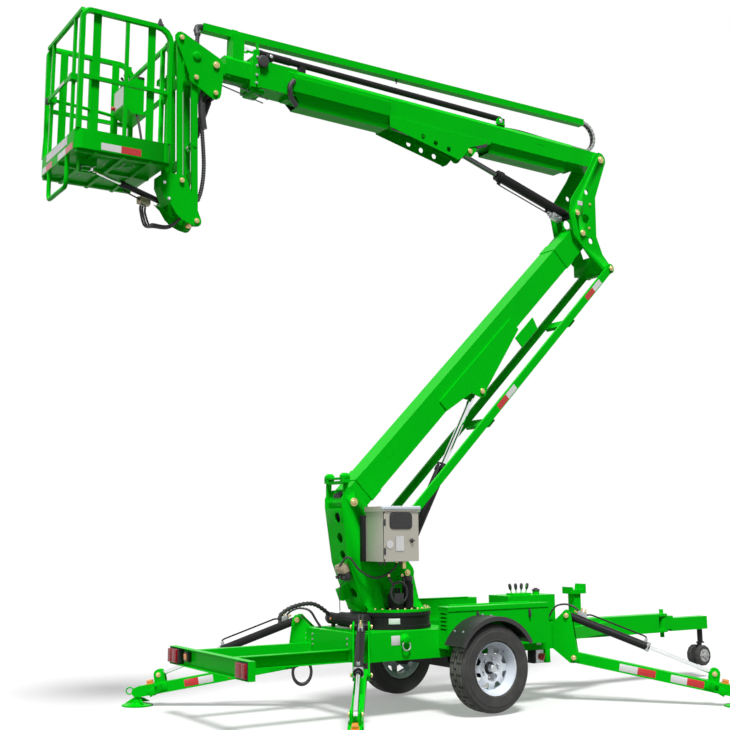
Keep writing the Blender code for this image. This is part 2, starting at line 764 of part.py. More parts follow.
def make_turret(green):
    body("turret", (SLEW_X, 0, 0.70))
    outline = [(-0.245, 0.790), (-0.300, 0.860), (-0.345, 1.030)]
    outline += arc(CYLINDER_BASE, 0.075, -20, 50, 3)
    outline += arc(LINK_LOW_PIN, 0.066, 20, 60, 3)
    outline += arc(LOWER_PIN, 0.105, 5, 165, 8)
    outline += [(-1.030, 1.600), (-0.965, 1.170), (-0.840, 0.860), (-0.780, 0.790)]
    shapes = cheek_pair(outline, CHEEK_IN, CHEEK_IN + PLATE)
    shapes.append(
        turned(
            (SLEW_X, 0, RING_HIGH + SEAT),
            (SLEW_X, 0, 1),
            [(0, 0), (RING_RADIUS, 0), (RING_RADIUS, 0.020), (0, 0.020)],
            40,
        )
    )
    rear = [(-1.014, 1.480), (-1.002, 1.480), (-0.953, 1.170), (-0.828, 0.860), (-0.800, 0.790)]
    rear += [(-0.815, 0.790), (-0.842, 0.860), (-0.967, 1.170)]
    wide = CHEEK_IN + 0.002
    shapes.append(plate(rear, (-wide, wide)))
    front = [(-0.262, 0.790), (-0.310, 0.860), (-0.345, 0.990), (-0.357, 0.990), (-0.322, 0.860)]
    front += [(-0.280, 0.790)]
    shapes.append(plate(front, (-wide, wide)))
    reach = CHEEK_IN + PLATE + 0.012
    shapes.append(cross_pin(LOWER_PIN, reach, 0.030))
    shapes.append(cross_pin(LINK_LOW_PIN, LINK_IN + LINK_THICK + 0.012, PIN))
    shapes.append(cross_pin(CYLINDER_BASE, reach, LIFT_PIN))
    for x in (-0.700, -0.380):  # gussets between the side plates and the flange
        for side in SIDES.values():
            start, end = CHEEK_IN + PLATE - 0.002, RING_RADIUS - 0.090
            points = [(x - 0.006, start, 0.792), (x - 0.006, end, 0.792), (x - 0.006, start, 1.040)]
            first = [(px, side * py, pz) for px, py, pz in points]
            second = [(px + 0.012, py, pz) for px, py, pz in first]
            shapes.append(loft([first, second]))
    for side in SIDES.values():  # rack over the pin that the upper boom is laid in
        near, far = sorted((side * CHEEK_IN, side * (CHEEK_IN + PLATE)))
        shapes.append(block((-1.020, -0.975), (near, far), (1.690, 1.805)))
    shapes.append(block((-1.020, -0.975), (-0.140, 0.140), (1.790, 1.815)))
    for side in SIDES.values():
        near, far = sorted((side * 0.100, side * 0.150))
        shapes.append(block((-1.030, -0.965), (near, far), (1.800, 1.850)))
    node("turret", "turret", green, shapes)


def make_control_box(steel):
    x = (-0.850, -0.520)
    y = (-0.450, -0.200)
    z = (1.180, 1.570)
    wall = 0.003
    shapes = [
        block(x, y, z),
        block((x[0] - 0.012, x[1] + 0.012), (y[0] - 0.022, y[1]), (z[1] - 0.004, z[1] + 0.036)),
    ]
    inside = (z[0] + wall, z[1] - wall)
    cuts = [block((x[0] + wall, x[1] - wall), (y[0] - 0.010, y[1] - wall), inside)]
    arm_y = (y[1] - 0.001, -CHEEK_IN - PLATE - SEAT)
    for height in (1.250, 1.470):  # arms that carry the box on the turret's near side plate
        shapes.append(block((-0.840, -0.780), arm_y, (height, height + 0.040)))
    node("control_box", "turret", steel, shapes, cuts)
    hinge = Vector((x[0] + 0.008, y[0] - 0.010, 0))
    body("control_box_door", (hinge.x, hinge.y, 1.375), "turret")
    door = [
        block((x[0] + 0.012, x[1] - 0.001), (y[0] - 0.012, y[0] - SEAT), (z[0] + 0.001, z[1] - 0.008)),
        rod((hinge.x, hinge.y, z[0] + 0.020), (hinge.x, hinge.y, z[1] - 0.020), 0.006, 10),
    ]
    node("control_box_door", "control_box_door", steel, door)


def make_power_unit(black):
    """Pump, motor and valve block in a row on a base, on the turret's front flange."""
    y = -0.150
    base = RING_HIGH + 0.020 + 2 * SEAT
    shapes = [
        block((-0.660, -0.420), (-0.280, y - 0.035), (base, base + 0.012)),
        rod((-0.480, -0.240, base + 0.010), (-0.480, -0.240, base + 0.200), 0.046, 14),
        rod((-0.480, -0.240, base + 0.195), (-0.480, -0.240, base + 0.222), 0.036, 14),
        block((-0.640, -0.545), (-0.275, -0.195), (base + 0.010, base + 0.120)),
    ]
    for i in range(3):
        x = -0.622 + 0.030 * i
        shapes.append(rod((x, -0.235, base + 0.118), (x, -0.235, base + 0.165), 0.011, 10))
    node("power_unit", "turret", black, shapes)


# ---------------------------------------------------------------- lower boom group
def xz(place):
    return (place.x, place.z)


def lower_line(points):
    """(along, up) pairs of the lower boom, as (x, z) points for an outline."""
    return [xz(on_lower(along, up)) for along, up in points]


def upper_line(points):
    return [xz(on_upper(along, up)) for along, up in points]


def make_lower_boom(green):
    body("lower_boom", LOWER_PIN, "turret")
    middle = -LOWER_DROP
    reach = CHEEK_IN - THRUST
    eye = on_lower(LOWER_EYE_ALONG, LOWER_EYE_UP)
    tilt = math.degrees(LOWER_ANGLE)
    shapes = [
        bar(
            on_lower(0.050, middle),
            on_lower(LOWER_LENGTH - 0.050, middle),
            2 * LOWER_HALF_WIDTH,
            LOWER_DEPTH,
        ),
        cross_pin(LOWER_PIN, reach, 0.075),
        cross_pin(ELBOW_PIN, reach, 0.080),
    ]
    low = -LOWER_DROP - LOWER_DEPTH / 2
    outline = lower_line([(2.390, -0.020), (1.250, -0.020), (1.250, low), (1.560, -0.195)])
    outline += arc(eye, 0.055, tilt + 200, tilt + 330, 6)
    outline += lower_line([(2.390, -0.150)])
    shapes += cheek_pair(outline, LOWER_HALF_WIDTH - 0.002, LOWER_HALF_WIDTH + 0.012)
    shapes += half_pins(eye, 0.030, LOWER_HALF_WIDTH + 0.024, LIFT_PIN)
    for along in (0.160, 3.300):  # bands round the beam's ends
        shapes.append(
            bar(
                on_lower(along, middle),
                on_lower(along + 0.120, middle),
                2 * LOWER_HALF_WIDTH + 0.012,
                LOWER_DEPTH + 0.012,
            )
        )
    cuts = [
        cross_pin(LOWER_PIN, 0.2, 0.030 + PIN_PLAY),
        cross_pin(ELBOW_PIN, 0.2, PIN + PIN_PLAY),
        bar(  # hollow, and open at the elbow's end
            on_lower(0.300, middle),
            on_lower(LOWER_LENGTH - 0.040, middle),
            2 * (LOWER_HALF_WIDTH - BOOM_WALL),
            LOWER_DEPTH - 2 * BOOM_WALL,
        ),
    ]
    node("lower_boom", "lower_boom", green, shapes, cuts)


def make_links(green):
    """The two bars under the lower boom that keep the elbow upright, and their cross bars."""
    body("parallel_links", LINK_LOW_PIN, "turret")
    shapes = []
    cuts = []
    for side in SIDES.values():
        inner, outer = side * LINK_IN, side * (LINK_IN + LINK_THICK)
        boss = side * (CHEEK_IN + PLATE + THRUST)
        middle = Vector((0, (inner + outer) / 2, 0))
        shapes.append(bar(LINK_LOW_PIN + middle, LINK_TOP_PIN + middle, LINK_THICK, LINK_DEPTH))
        for pin in (LINK_LOW_PIN, LINK_TOP_PIN):
            shapes.append(
                rod(pin + Vector((0, boss, 0)), pin + Vector((0, outer, 0)), 0.048, 12)
            )
    reach = LINK_IN + 0.010
    for along in (1.500, 2.900):
        place = LINK_LOW_PIN + along * LOWER_DIR - 0.045 * LOWER_UP
        across = Vector((0, reach, 0))
        shapes.append(bar(place - across, place + across, 0.090, 0.034, LOWER_DIR))
    for pin in (LINK_LOW_PIN, LINK_TOP_PIN):
        cuts.append(cross_pin(pin, 0.3, PIN + PIN_PLAY))
    node("parallel_links", "parallel_links", green, shapes, cuts)


UPPER_CYLINDER_BASE = ELBOW_PIN + Vector((-0.058, 0, 0.193))
UPPER_EYE_ALONG = 1.600
UPPER_EYE_UP = -0.235


def make_elbow(green):
    """Upright frame that joins both booms."""
    body("elbow", ELBOW_PIN, "lower_boom")
    x, z = ELBOW_PIN.x, ELBOW_PIN.z
    outline = arc(TOP_PIN, 0.078, -40, 160, 6)
    outline += [
        (x + dx, z + dz)
        for dx, dz in (
            (0.075, 0.595), (-0.120, 0.325), (-0.145, 0.185), (-0.105, -0.020), (-0.020, -0.105),
            (0.122, -0.255),
        )
    ]
    outline += arc(LINK_TOP_PIN, 0.058, 215, 395, 5)
    outline += [(x + dx, z + dz) for dx, dz in ((0.262, -0.180), (0.190, -0.010), (0.196, 0.385))]
    shapes = cheek_pair(outline, CHEEK_IN, CHEEK_IN + PLATE)
    wide = CHEEK_IN + 0.002
    shapes.append(block((x + 0.125, x + 0.320), (-wide, wide), (z - 0.375, z - 0.220)))
    shapes.append(block((x + 0.168, x + 0.182), (-wide, wide), (z + 0.015, z + 0.385)))
    reach = CHEEK_IN + PLATE + 0.014
    shapes.append(cross_pin(TOP_PIN, reach, 0.030))
    shapes.append(cross_pin(ELBOW_PIN, reach, PIN))
    shapes.append(cross_pin(LINK_TOP_PIN, LINK_IN + LINK_THICK + 0.012, PIN))
    shapes.append(cross_pin(UPPER_CYLINDER_BASE, reach, LIFT_PIN))
    cuts = []
    for dx, dz in ((0.083, 0.424), (0.058, 0.152), (0.115, -0.063)):
        place = Vector((x + dx, 0, z + dz))
        cuts.append(cross_pin(place, 0.2, 0.014))
    node("elbow", "elbow", green, shapes, cuts)


# ---------------------------------------------------------------- upper boom group
def octagon(top_half, top, half, shoulder, hip, bottom_half, bottom, grow=0.0):
    """Section (y, n) of a folded boom; grow moves every face outwards."""
    right = [
        (top_half + grow / 2, top + grow),
        (half + grow, shoulder + grow / 2),
        (half + grow, hip - grow / 2),
        (bottom_half + grow / 2, bottom - grow),
    ]
    return right + [(-y, n) for y, n in reversed(right)]


OUTER_OCTAGON = (0.060, 0.120, UPPER_HALF_WIDTH, 0.070, -0.090, 0.050, -0.150)
INNER_OCTAGON = (0.045, 0.098, INNER_HALF_WIDTH, 0.060, -0.072, 0.040, -INNER_HALF_DEPTH)
INNER_GAP = 0.0055
COLLAR_ALONG = 3.760
HEAD_ALONG = 4.148
HEAD_UP = -0.040
HEAD_PIN = on_upper(HEAD_ALONG, HEAD_UP)
HEAD_IN = 0.0965  # inner face of the head's side plates, and of the basket bracket's
HEAD_PLATE = 0.012


def rectangle(half, low, high):
    return [(half, high), (half, low), (-half, low), (-half, high)]


def upper_prism(section, start, end):
    return loft([[on_upper(along, n, y) for y, n in section] for along in (start, end)])


def make_upper_boom(green):
    body("upper_boom", TOP_PIN, "elbow")
    tilt = 180 - math.degrees(UPPER_ANGLE)
    eye = on_upper(UPPER_EYE_ALONG, UPPER_EYE_UP)
    shapes = [
        upper_prism(octagon(*OUTER_OCTAGON), 0.300, 3.480),
        upper_prism(rectangle(0.100, -0.122, 0.115), 3.400, 3.800),
        upper_prism(rectangle(0.118, -0.140, 0.132), COLLAR_ALONG, UPPER_LENGTH),
        upper_prism(rectangle(0.105, -0.085, 0.085), 0.000, 0.340),
        cross_pin(TOP_PIN, CHEEK_IN - THRUST, 0.075, 12),
    ]
    fin = [(-0.118, 0.120), (-0.066, 0.120), (-0.066, 0.262), (-0.090, 0.262)]
    shapes.append(upper_prism(fin, COLLAR_ALONG + 0.008, COLLAR_ALONG + 0.020))
    outline = upper_line([(1.350, -0.080), (2.340, -0.080), (2.340, -0.175), (1.760, -0.235)])
    outline += arc(eye, 0.052, tilt + 35, tilt + 150, 6)
    outline += upper_line([(1.500, -0.180), (1.350, -0.110)])
    shapes += cheek_pair(outline, 0.100, UPPER_HALF_WIDTH)
    shapes += half_pins(eye, 0.030, UPPER_HALF_WIDTH + 0.012, LIFT_PIN)
    cuts = [
        cross_pin(TOP_PIN, 0.2, 0.030 + PIN_PLAY),
        upper_prism(octagon(*INNER_OCTAGON, grow=INNER_GAP), 0.360, COLLAR_ALONG),
        upper_prism(octagon(*INNER_OCTAGON, grow=SLIDE_PLAY), 3.700, UPPER_LENGTH + 0.100),
    ]
    for along in (1.850, 2.020, 2.190):
        cuts.append(cross_pin(on_upper(along, -0.185), 0.2, 0.014))
    node("upper_boom_outer", "upper_boom", green, shapes, cuts)


def trough_floor(along):
    """Height of the cable trough's underside over the boom's middle line."""
    return 0.395 - 0.0253 * (along - 0.070)


def make_inner_boom(green):
    body("inner_boom", on_upper(0.5, 0), "upper_boom")
    shapes = [
        upper_prism(octagon(*INNER_OCTAGON), 0.500, 4.050),
        upper_prism(rectangle(0.078, -0.088, 0.010), 4.000, HEAD_ALONG),
        cross_pin(HEAD_PIN, HEAD_IN - THRUST, 0.052, 12),
    ]
    stand = upper_line([(3.880, 0.080), (3.980, 0.080)])
    stand += upper_line([(s, trough_floor(s) - SEAT) for s in (3.980, 3.880)])
    shapes.append(plate(stand, (-0.060, 0.066)))
    cuts = [
        cross_pin(HEAD_PIN, 0.2, PIN + PIN_PLAY),
        upper_prism(octagon(*INNER_OCTAGON, grow=-BOOM_WALL), 0.400, 3.700),
    ]
    node("inner_boom", "inner_boom", green, shapes, cuts)


TELESCOPE_Y = -0.037
TELESCOPE_UP = 0.195


def make_telescope(black, chrome):
    """The cylinder that slides the inner boom out, laid on the outer boom."""
    def place(along, up=TELESCOPE_UP):
        return on_upper(along, up, TELESCOPE_Y)

    shapes = [rod(place(1.180), place(3.500), 0.028, 12)]
    for along in (1.140, 3.300):
        wide = [(0.023, 0.120 + SEAT), (0.023, 0.200), (-0.023, 0.200), (-0.023, 0.120 + SEAT)]
        section = [(TELESCOPE_Y + y, n) for y, n in wide]
        shapes.append(upper_prism(section, along, along + 0.060))
    shapes.append(rod(place(3.440), place(3.506), 0.033, 12))
    cuts = [rod(place(1.380), place(3.600), 0.016 + SLIDE_PLAY, 12)]
    node("telescope_barrel", "upper_boom", black, shapes, cuts)
    shapes = [
        rod(place(1.420), place(3.850), 0.016, 12),
        rod(place(3.840), place(3.880 - SEAT), 0.026, 12),
    ]
    node("telescope_rod", "inner_boom", chrome, shapes)


CHAIN_Y = (0.012, 0.060)


def make_cables(black, grey):
    body("energy_chain", on_upper(0.5, 0.285), "upper_boom")
    centre_s, centre_n = 0.065, 0.285
    outer, inner = 0.1645, 0.1305

    def bend(radius, degrees):
        return [
            (
                centre_s + radius * math.cos(math.radians(a)),
                centre_n + radius * math.sin(math.radians(a)),
            )
            for a in degrees
        ]

    turn = [270 - 18 * i for i in range(11)]
    path = [(1.170, centre_n - outer)] + bend(outer, turn) + [(0.350, centre_n + outer - 0.007)]
    path += [(0.350, centre_n + inner - 0.007)] + bend(inner, turn[::-1])
    path += [(1.170, centre_n - inner)]
    node("energy_chain", "energy_chain", black, [plate(upper_line(path), CHAIN_Y)])
    high = 0.062
    ends = (0.070, 4.222)
    shapes = []
    for y, low, top in (
        ((-0.0015, 0.0735), 0.000, 0.003),
        ((-0.0015, 0.0015), 0.000, high),
        ((0.0705, 0.0735), 0.000, high),
        ((-0.0015, 0.0735), high - 0.003, high),
    ):
        outline = upper_line([(s, trough_floor(s) + low) for s in ends])
        outline += upper_line([(s, trough_floor(s) + top) for s in ends[::-1]])
        shapes.append(plate(outline, y))
    end = upper_line([(s, trough_floor(s)) for s in (4.219, 4.222)])
    end += upper_line([(s, trough_floor(s) + high) for s in (4.222, 4.219)])
    shapes.append(plate(end, (-0.0015, 0.0735)))
    node("cable_trough", "inner_boom", grey, shapes)


# ---------------------------------------------------------------- head and jib
ARM_TOP = HEAD_PIN + Vector((-0.170, 0, -0.140))
LINK_TOP = HEAD_PIN + Vector((-0.300, 0, 0.165))
JIB_DROP = Vector((0.030, 0, -1.170))
ARM_FOOT = ARM_TOP + JIB_DROP
LINK_FOOT = LINK_TOP + JIB_DROP
JIB_BASE = HEAD_PIN + Vector((0.000, 0, -0.235))
JIB_EYE = ARM_TOP + JIB_DROP * 0.470
JIB_SIDE = (0.062, 0.084)
JIB_PIN = 0.020


def make_head(green):
    body("boom_head", HEAD_PIN, "inner_boom")
    outline = arc(LINK_TOP, 0.052, 60, 230, 5)
    outline += arc(ARM_TOP, 0.055, 170, 260, 3)
    outline += arc(JIB_BASE, 0.052, 250, 360, 3)
    outline += arc(HEAD_PIN, 0.075, -10, 70, 3)
    shapes = cheek_pair(outline, HEAD_IN, HEAD_IN + HEAD_PLATE)
    reach = HEAD_IN + HEAD_PLATE + 0.012
    shapes.append(cross_pin(HEAD_PIN, reach, PIN))
    for place in (ARM_TOP, LINK_TOP, JIB_BASE):
        shapes.append(cross_pin(place, reach, JIB_PIN))
    shapes.append(cross_pin(HEAD_PIN + Vector((-0.165, 0, 0.040)), HEAD_IN + 0.002, 0.026))
    node("boom_head", "boom_head", green, shapes)


def side_bars(start, end, depth, eye, pin):
    """Two bars with bored eyes, one each side of the middle."""
    shapes = []
    for side in SIDES.values():
        inner, outer = (side * level for level in JIB_SIDE)
        middle = Vector((0, (inner + outer) / 2, 0))
        shapes.append(bar(start + middle, end + middle, abs(outer - inner), depth))
        for place in (start, end):
            near, far = Vector((0, inner, 0)), Vector((0, side * (HEAD_IN - THRUST), 0))
            shapes.append(rod(place + near, place + far, eye, 12))
    cuts = [cross_pin(place, 0.2, pin + PIN_PLAY) for place in (start, end)]
    return shapes, cuts


def make_jib(green, colours):
    body("jib_arm", ARM_TOP, "boom_head")
    shapes, cuts = side_bars(ARM_TOP, ARM_FOOT, 0.052, 0.036, JIB_PIN)
    reach = Vector((0, JIB_SIDE[0] + 0.004, 0))
    for along in (0.680, 0.860):
        place = ARM_TOP + JIB_DROP * along
        shapes.append(bar(place - reach, place + reach, 0.090, 0.020, JIB_DROP.normalized()))
    shapes += half_pins(JIB_EYE, 0.026, JIB_SIDE[1] + 0.006, JIB_PIN)
    node("jib_arm", "jib_arm", green, shapes, cuts)
    body("jib_link", LINK_TOP, "boom_head")
    shapes, cuts = side_bars(LINK_TOP, LINK_FOOT, 0.044, 0.034, JIB_PIN)
    for along in (0.300, 0.880):
        place = LINK_TOP + JIB_DROP * along
        shapes.append(bar(place - reach, place + reach, 0.080, 0.016, JIB_DROP.normalized()))
    node("jib_link", "jib_link", green, shapes, cuts)
    make_cylinder(
        "jib_cylinder", "boom_head", JIB_BASE, JIB_EYE, (0.030, 0.016, 0.370), 0, 0.020, JIB_PIN,
        colours, base_half=HEAD_IN - THRUST,
    )


# ---------------------------------------------------------------- basket group
SWING_X = ARM_FOOT.x - 0.220  # upright post that the basket swings on
BASKET_X = (SWING_X - 0.790, SWING_X - 0.050)
BASKET_Y = (-0.240, 0.640)
BASKET_FLOOR = LINK_FOOT.z + 0.075
BASKET_HIGH = BASKET_FLOOR + 1.100
POST_RADIUS = 0.018
SWING_BASE = Vector((ARM_FOOT.x - 0.060, 0.480, LINK_FOOT.z - 0.010))
SWING_EYE = Vector((SWING_X - 0.597, -0.030, LINK_FOOT.z - 0.010))
SWING_PIN = 0.010
HEEL_TOP = LINK_FOOT.z + 0.048  # the bracket's top plate, which the basket's hinge stands on
EAR_GAP = 0.026  # half the gap between the ears that hold the swing cylinder's fixed end


def make_bracket(green):
    body("basket_bracket", ARM_FOOT, "jib_arm")
    heel = Vector((SWING_X, 0, HEEL_TOP - 0.032))
    outline = arc(LINK_FOOT, 0.048, 20, 100, 4)
    edge = heel.x - 0.048  # the plates' edge nearest the basket
    outline += [(edge, heel.z + 0.032), (edge, heel.z - 0.050)]
    outline += [(LINK_FOOT.x - 0.070, LINK_FOOT.z - 0.180)]
    outline += arc(ARM_FOOT, 0.045, 180, 380, 5)
    shapes = cheek_pair(outline, HEAD_IN, HEAD_IN + HEAD_PLATE)
    reach = HEAD_IN + HEAD_PLATE + 0.012
    for place in (ARM_FOOT, LINK_FOOT):
        shapes.append(cross_pin(place, reach, JIB_PIN))
    wide = HEAD_IN + 0.002
    shapes.append(block((edge, heel.x + 0.040), (-wide, wide), (heel.z + 0.012, heel.z + 0.032)))
    web = [(edge, heel.z + 0.030), (edge, heel.z - 0.050)]
    web += [(LINK_FOOT.x - 0.070, LINK_FOOT.z - 0.180), (LINK_FOOT.x - 0.060, LINK_FOOT.z - 0.170)]
    web += [(edge + 0.012, heel.z - 0.046), (edge + 0.012, heel.z + 0.030)]
    shapes.append(plate(web, (-wide, wide)))
    top = BASKET_FLOOR + 0.800
    shapes.append(rod((SWING_X, 0, heel.z), (SWING_X, 0, top), POST_RADIUS, 12))
    # arm that carries the swing cylinder's fixed end, with an ear over and under its eye
    z = SWING_BASE.z
    start = HEAD_IN + 0.004
    x = SWING_BASE.x
    for low, high in ((z - 0.042, z - EAR_GAP), (z + EAR_GAP, z + 0.042)):
        shapes.append(block((x - 0.035, x + 0.035), (start, SWING_BASE.y), (low, high)))
        shapes.append(
            rod((x, SWING_BASE.y, low), (x, SWING_BASE.y, high), 0.035, 12)
        )
    spine_y = (start, SWING_BASE.y - 0.060)
    shapes.append(block((x + 0.010, x + 0.035), spine_y, (z - 0.042, z + 0.042)))
    shapes.append(rod((x, SWING_BASE.y, z - 0.050), (x, SWING_BASE.y, z + 0.050), SWING_PIN, 10))
    node("basket_bracket", "basket_bracket", green, shapes)


def sweep(path, section, side):
    """A bar of any section along a path whose bends lie square to side."""
    path = [Vector(point) for point in path]
    side = Vector(side)
    shape = bmesh.new()
    rings = []
    for i, point in enumerate(path):
        before = (point - path[i - 1]).normalized() if i else None
        after = (path[i + 1] - point).normalized() if i + 1 < len(path) else None
        before, after = before or after, after or before
        along = (before + after).normalized()
        stretch = 1 / max(along.dot(before), 0.5)
        across = (side - side.dot(along) * along).normalized()
        up = along.cross(across) * stretch
        rings.append([shape.verts.new(point + across * a + up * b) for a, b in section])
    shape.faces.new(rings[0])
    shape.faces.new(reversed(rings[-1]))
    for first, second in zip(rings, rings[1:]):
        for i in range(len(section)):
            j = (i + 1) % len(section)
            shape.faces.new((first[i], first[j], second[j], second[i]))
    return closed_mesh(shape)


def tube_section(width, depth):
    a, b = width / 2, depth / 2
    return [(-a, -b), (a, -b), (a, b), (-a, b)]


def bent(corner, before, after, radius, steps=4):
    """Points that round a path's corner, between its neighbours."""
    corner = Vector(corner)
    first = (Vector(before) - corner).normalized() * radius
    second = (Vector(after) - corner).normalized() * radius
    points = []
    for i in range(steps + 1):
        angle = math.pi / 2 * i / steps
        points.append(
            corner + first * (1 - math.sin(angle)) + second * (1 - math.cos(angle))
        )
    return points


RAIL = 0.036


def make_basket(green, plastic):
    body("basket", (SWING_X, 0, BASKET_FLOOR), "basket_bracket")
    (x0, x1), (y0, y1) = BASKET_X, BASKET_Y
    floor, high = BASKET_FLOOR, BASKET_HIGH
    wall = 0.004
    toe = floor + 0.150
    half = RAIL / 2
    shapes = [block((x0, x1), (y0, y1), (floor, floor + 0.008))]
    for x, y in (
        ((x0, x1), (y0, y0 + wall)),
        ((x0, x1), (y1 - wall, y1)),
        ((x0, x0 + wall), (y0, y1)),
        ((x1 - wall, x1), (y0, y1)),
    ):
        shapes.append(block(x, y, (floor, toe)))
    section = tube_section(RAIL, RAIL)
    top = high - half
    for y in (y0 + half + wall, y1 - half - wall):  # the long sides' frames
        a, b = x0 + half + wall, x1 - half - wall
        low = floor + 0.004
        path = [(a, y, low)]
        path += bent((a, y, top), (a, y, low), (b, y, top), 0.060)
        path += bent((b, y, top), (a, y, top), (b, y, low), 0.110)
        path += [(b, y, low)]
        shapes.append(sweep(path, section, (0, 1, 0)))
        middle = floor + 0.560
        shapes.append(sweep([(a, y, middle), (b, y, middle)], tube_section(0.026, 0.030), (0, 1, 0)))
        post = (a + b) / 2
        shapes.append(block((post - 0.013, post + 0.013), (y - 0.012, y + 0.012), (low, top)))
    a, b = y0 + half + wall, y1 - half - wall
    for x, heights in ((x1 - half - wall, (top - 0.110, floor + 0.560)), (x0 + half + wall, (top,))):
        for height in heights:
            shapes.append(block((x - 0.014, x + 0.014), (a, b), (height - 0.014, height + 0.014)))
    x = x1 - half - wall  # two inner posts that carry the hinges
    for y in (-0.060, 0.200):
        shapes.append(block((x - 0.015, x + 0.015), (y - 0.015, y + 0.015), (floor + 0.004, top - 0.110)))
    for low, height in ((HEEL_TOP + THRUST, floor + 0.090), (floor + 0.700, floor + 0.700)):
        shapes.append(rod((SWING_X, 0, low), (SWING_X, 0, height + 0.060), 0.034, 12))
        arm_z = (height + 0.008, height + 0.052)
        shapes.append(block((x - 0.010, SWING_X - 0.022), (-0.062, 0.030), arm_z))
    # posts of the entrance, and the step that hangs under it
    x = x0 + half + wall
    for y in (-0.050, 0.480):
        shapes.append(block((x - 0.012, x + 0.012), (y - 0.012, y + 0.012), (floor + 0.004, top)))
    low = floor - 0.230
    round_pipe = [(0.012 * math.cos(math.pi * i / 3), 0.012 * math.sin(math.pi * i / 3)) for i in range(6)]
    path = [(x0 + 0.016, 0.000, floor + 0.004)]
    path += bent((x0 + 0.016, 0.000, low), (x0 + 0.016, 0.000, floor), (x0 + 0.016, 0.440, low), 0.050)
    path += bent((x0 + 0.016, 0.440, low), (x0 + 0.016, 0.000, low), (x0 + 0.016, 0.440, floor), 0.050)
    path += [(x0 + 0.016, 0.440, floor + 0.004)]
    shapes.append(sweep(path, round_pipe, (1, 0, 0)))
    # bracket under the floor for the swing cylinder's rod
    eye = SWING_EYE
    ear_x, ear_y = (eye.x - 0.108, eye.x + 0.030), (eye.y - 0.030, eye.y + 0.030)
    shapes.append(block(ear_x, ear_y, (eye.z + 0.026, floor + 0.004)))
    shapes.append(block((ear_x[0], ear_x[0] + 0.012), ear_y, (eye.z - 0.038, floor + 0.004)))
    shapes.append(block(ear_x, ear_y, (eye.z - 0.038, eye.z - 0.026)))
    for sign in (1, -1):
        pin_end = Vector((0, 0, sign * 0.012))
        near = eye + pin_end * 1.5
        shapes.append(rod(near, near + pin_end, SWING_PIN, 10))
    cuts = [rod((SWING_X, 0, HEEL_TOP - 0.010), (SWING_X, 0, high), POST_RADIUS + PIN_PLAY, 12)]
    node("basket", "basket", green, shapes, cuts)
    # bar across the entrance, which slides up on its two posts
    height = floor + 0.600
    body("gate_bar", (x, 0.215, height), "basket")
    shapes = [block((x - 0.030, x - 0.018), (-0.080, 0.510), (height - 0.016, height + 0.016))]
    for y in (-0.050, 0.480):
        slider_z = (height - 0.025, height + 0.025)
        shapes.append(block((x - 0.030, x + 0.030), (y - 0.030, y + 0.030), slider_z))
    bore = 0.012 + SLIDE_PLAY
    cuts = [
        block((x - bore, x + bore), (y - bore, y + bore), (height - 0.1, height + 0.1))
        for y in (-0.050, 0.480)
    ]
    node("gate_bar", "gate_bar", green, shapes, cuts)
    # sloped control box on the inner rail
    inner = x1 - half - wall - 0.014 - SEAT
    box = [(inner, floor + 0.548), (inner, floor + 0.860), (inner - 0.060, floor + 0.860)]
    box += [(inner - 0.160, floor + 0.790), (inner - 0.160, floor + 0.600), (inner - 0.100, floor + 0.548)]
    node("platform_control_box", "basket", plastic, [plate(box, (0.280, 0.540))])


def centre_tree():
    """Moves the root, so that the origin is under the middle of the bounding box."""
    bpy.context.view_layer.update()
    low, high = Vector((1e9,) * 3), Vector((-1e9,) * 3)
    for thing in bpy.data.objects:
        if thing.type != "MESH":
            continue
        for vertex in thing.data.vertices:
            place = thing.matrix_world @ vertex.co
            for i in range(3):
                low[i], high[i] = min(low[i], place[i]), max(high[i], place[i])
    middle = (low + high) / 2
    BODIES["root"]["empty"].location = Vector((-middle.x, -middle.y, -low.z))
    bpy.context.view_layer.update()


def main():
    clear_scene()
    green = paint("green_paint", (0.010, 0.520, 0.008), 0.35)
    black = paint("black_paint", (0.012, 0.012, 0.013), 0.45)
    white = paint("white_paint", (0.700, 0.760, 0.820), 0.40)
    rubber = paint("tyre_rubber", (0.020, 0.020, 0.021), 0.85)
    plastic = paint("black_plastic", (0.016, 0.016, 0.017), 0.60)
    chrome = paint("chrome", (0.750, 0.760, 0.780), 0.12, 1.0)
    steel = paint("stainless", (0.520, 0.530, 0.550), 0.32, 1.0)
    grey = paint("galvanised", (0.350, 0.360, 0.370), 0.50, 0.8)
    colours = (black, chrome)
    body("root", (0, 0, 0), "")
    make_chassis(green)
    make_light_bar(green)
    make_axle(grey)
    make_wheels(rubber, white)
    make_fenders(plastic)
    make_housings(green)
    make_tank(green)
    make_slew(black)
    make_nose(green, black, rubber)
    make_outriggers(green, colours)
    make_turret(green)
    make_control_box(steel)
    make_power_unit(black)
    make_lower_boom(green)
    make_cylinder(
        "lower_cylinder", "turret", CYLINDER_BASE, on_lower(LOWER_EYE_ALONG, LOWER_EYE_UP),
        (0.050, 0.027, 1.020), 0.660, 0.022, LIFT_PIN, colours, base_half=CHEEK_IN - THRUST,
    )
    make_links(green)
    make_elbow(green)
    make_upper_boom(green)
    make_cylinder(
        "upper_cylinder", "elbow", UPPER_CYLINDER_BASE, on_upper(UPPER_EYE_ALONG, UPPER_EYE_UP),
        (0.048, 0.025, 0.910), 0.136, 0.022, LIFT_PIN, colours, base_half=CHEEK_IN - THRUST,
    )
    make_inner_boom(green)
    make_telescope(black, chrome)
    make_cables(black, grey)
    make_head(green)
    make_jib(green, colours)
    make_bracket(green)
    make_basket(green, plastic)
    make_cylinder(
        "swing_cylinder", "basket_bracket", SWING_BASE, SWING_EYE, (0.024, 0.013, 0.540), 0.212,
        0.014, SWING_PIN, colours, Vector((0, 0, 1)), base_half=EAR_GAP - THRUST,
    )
    centre_tree()


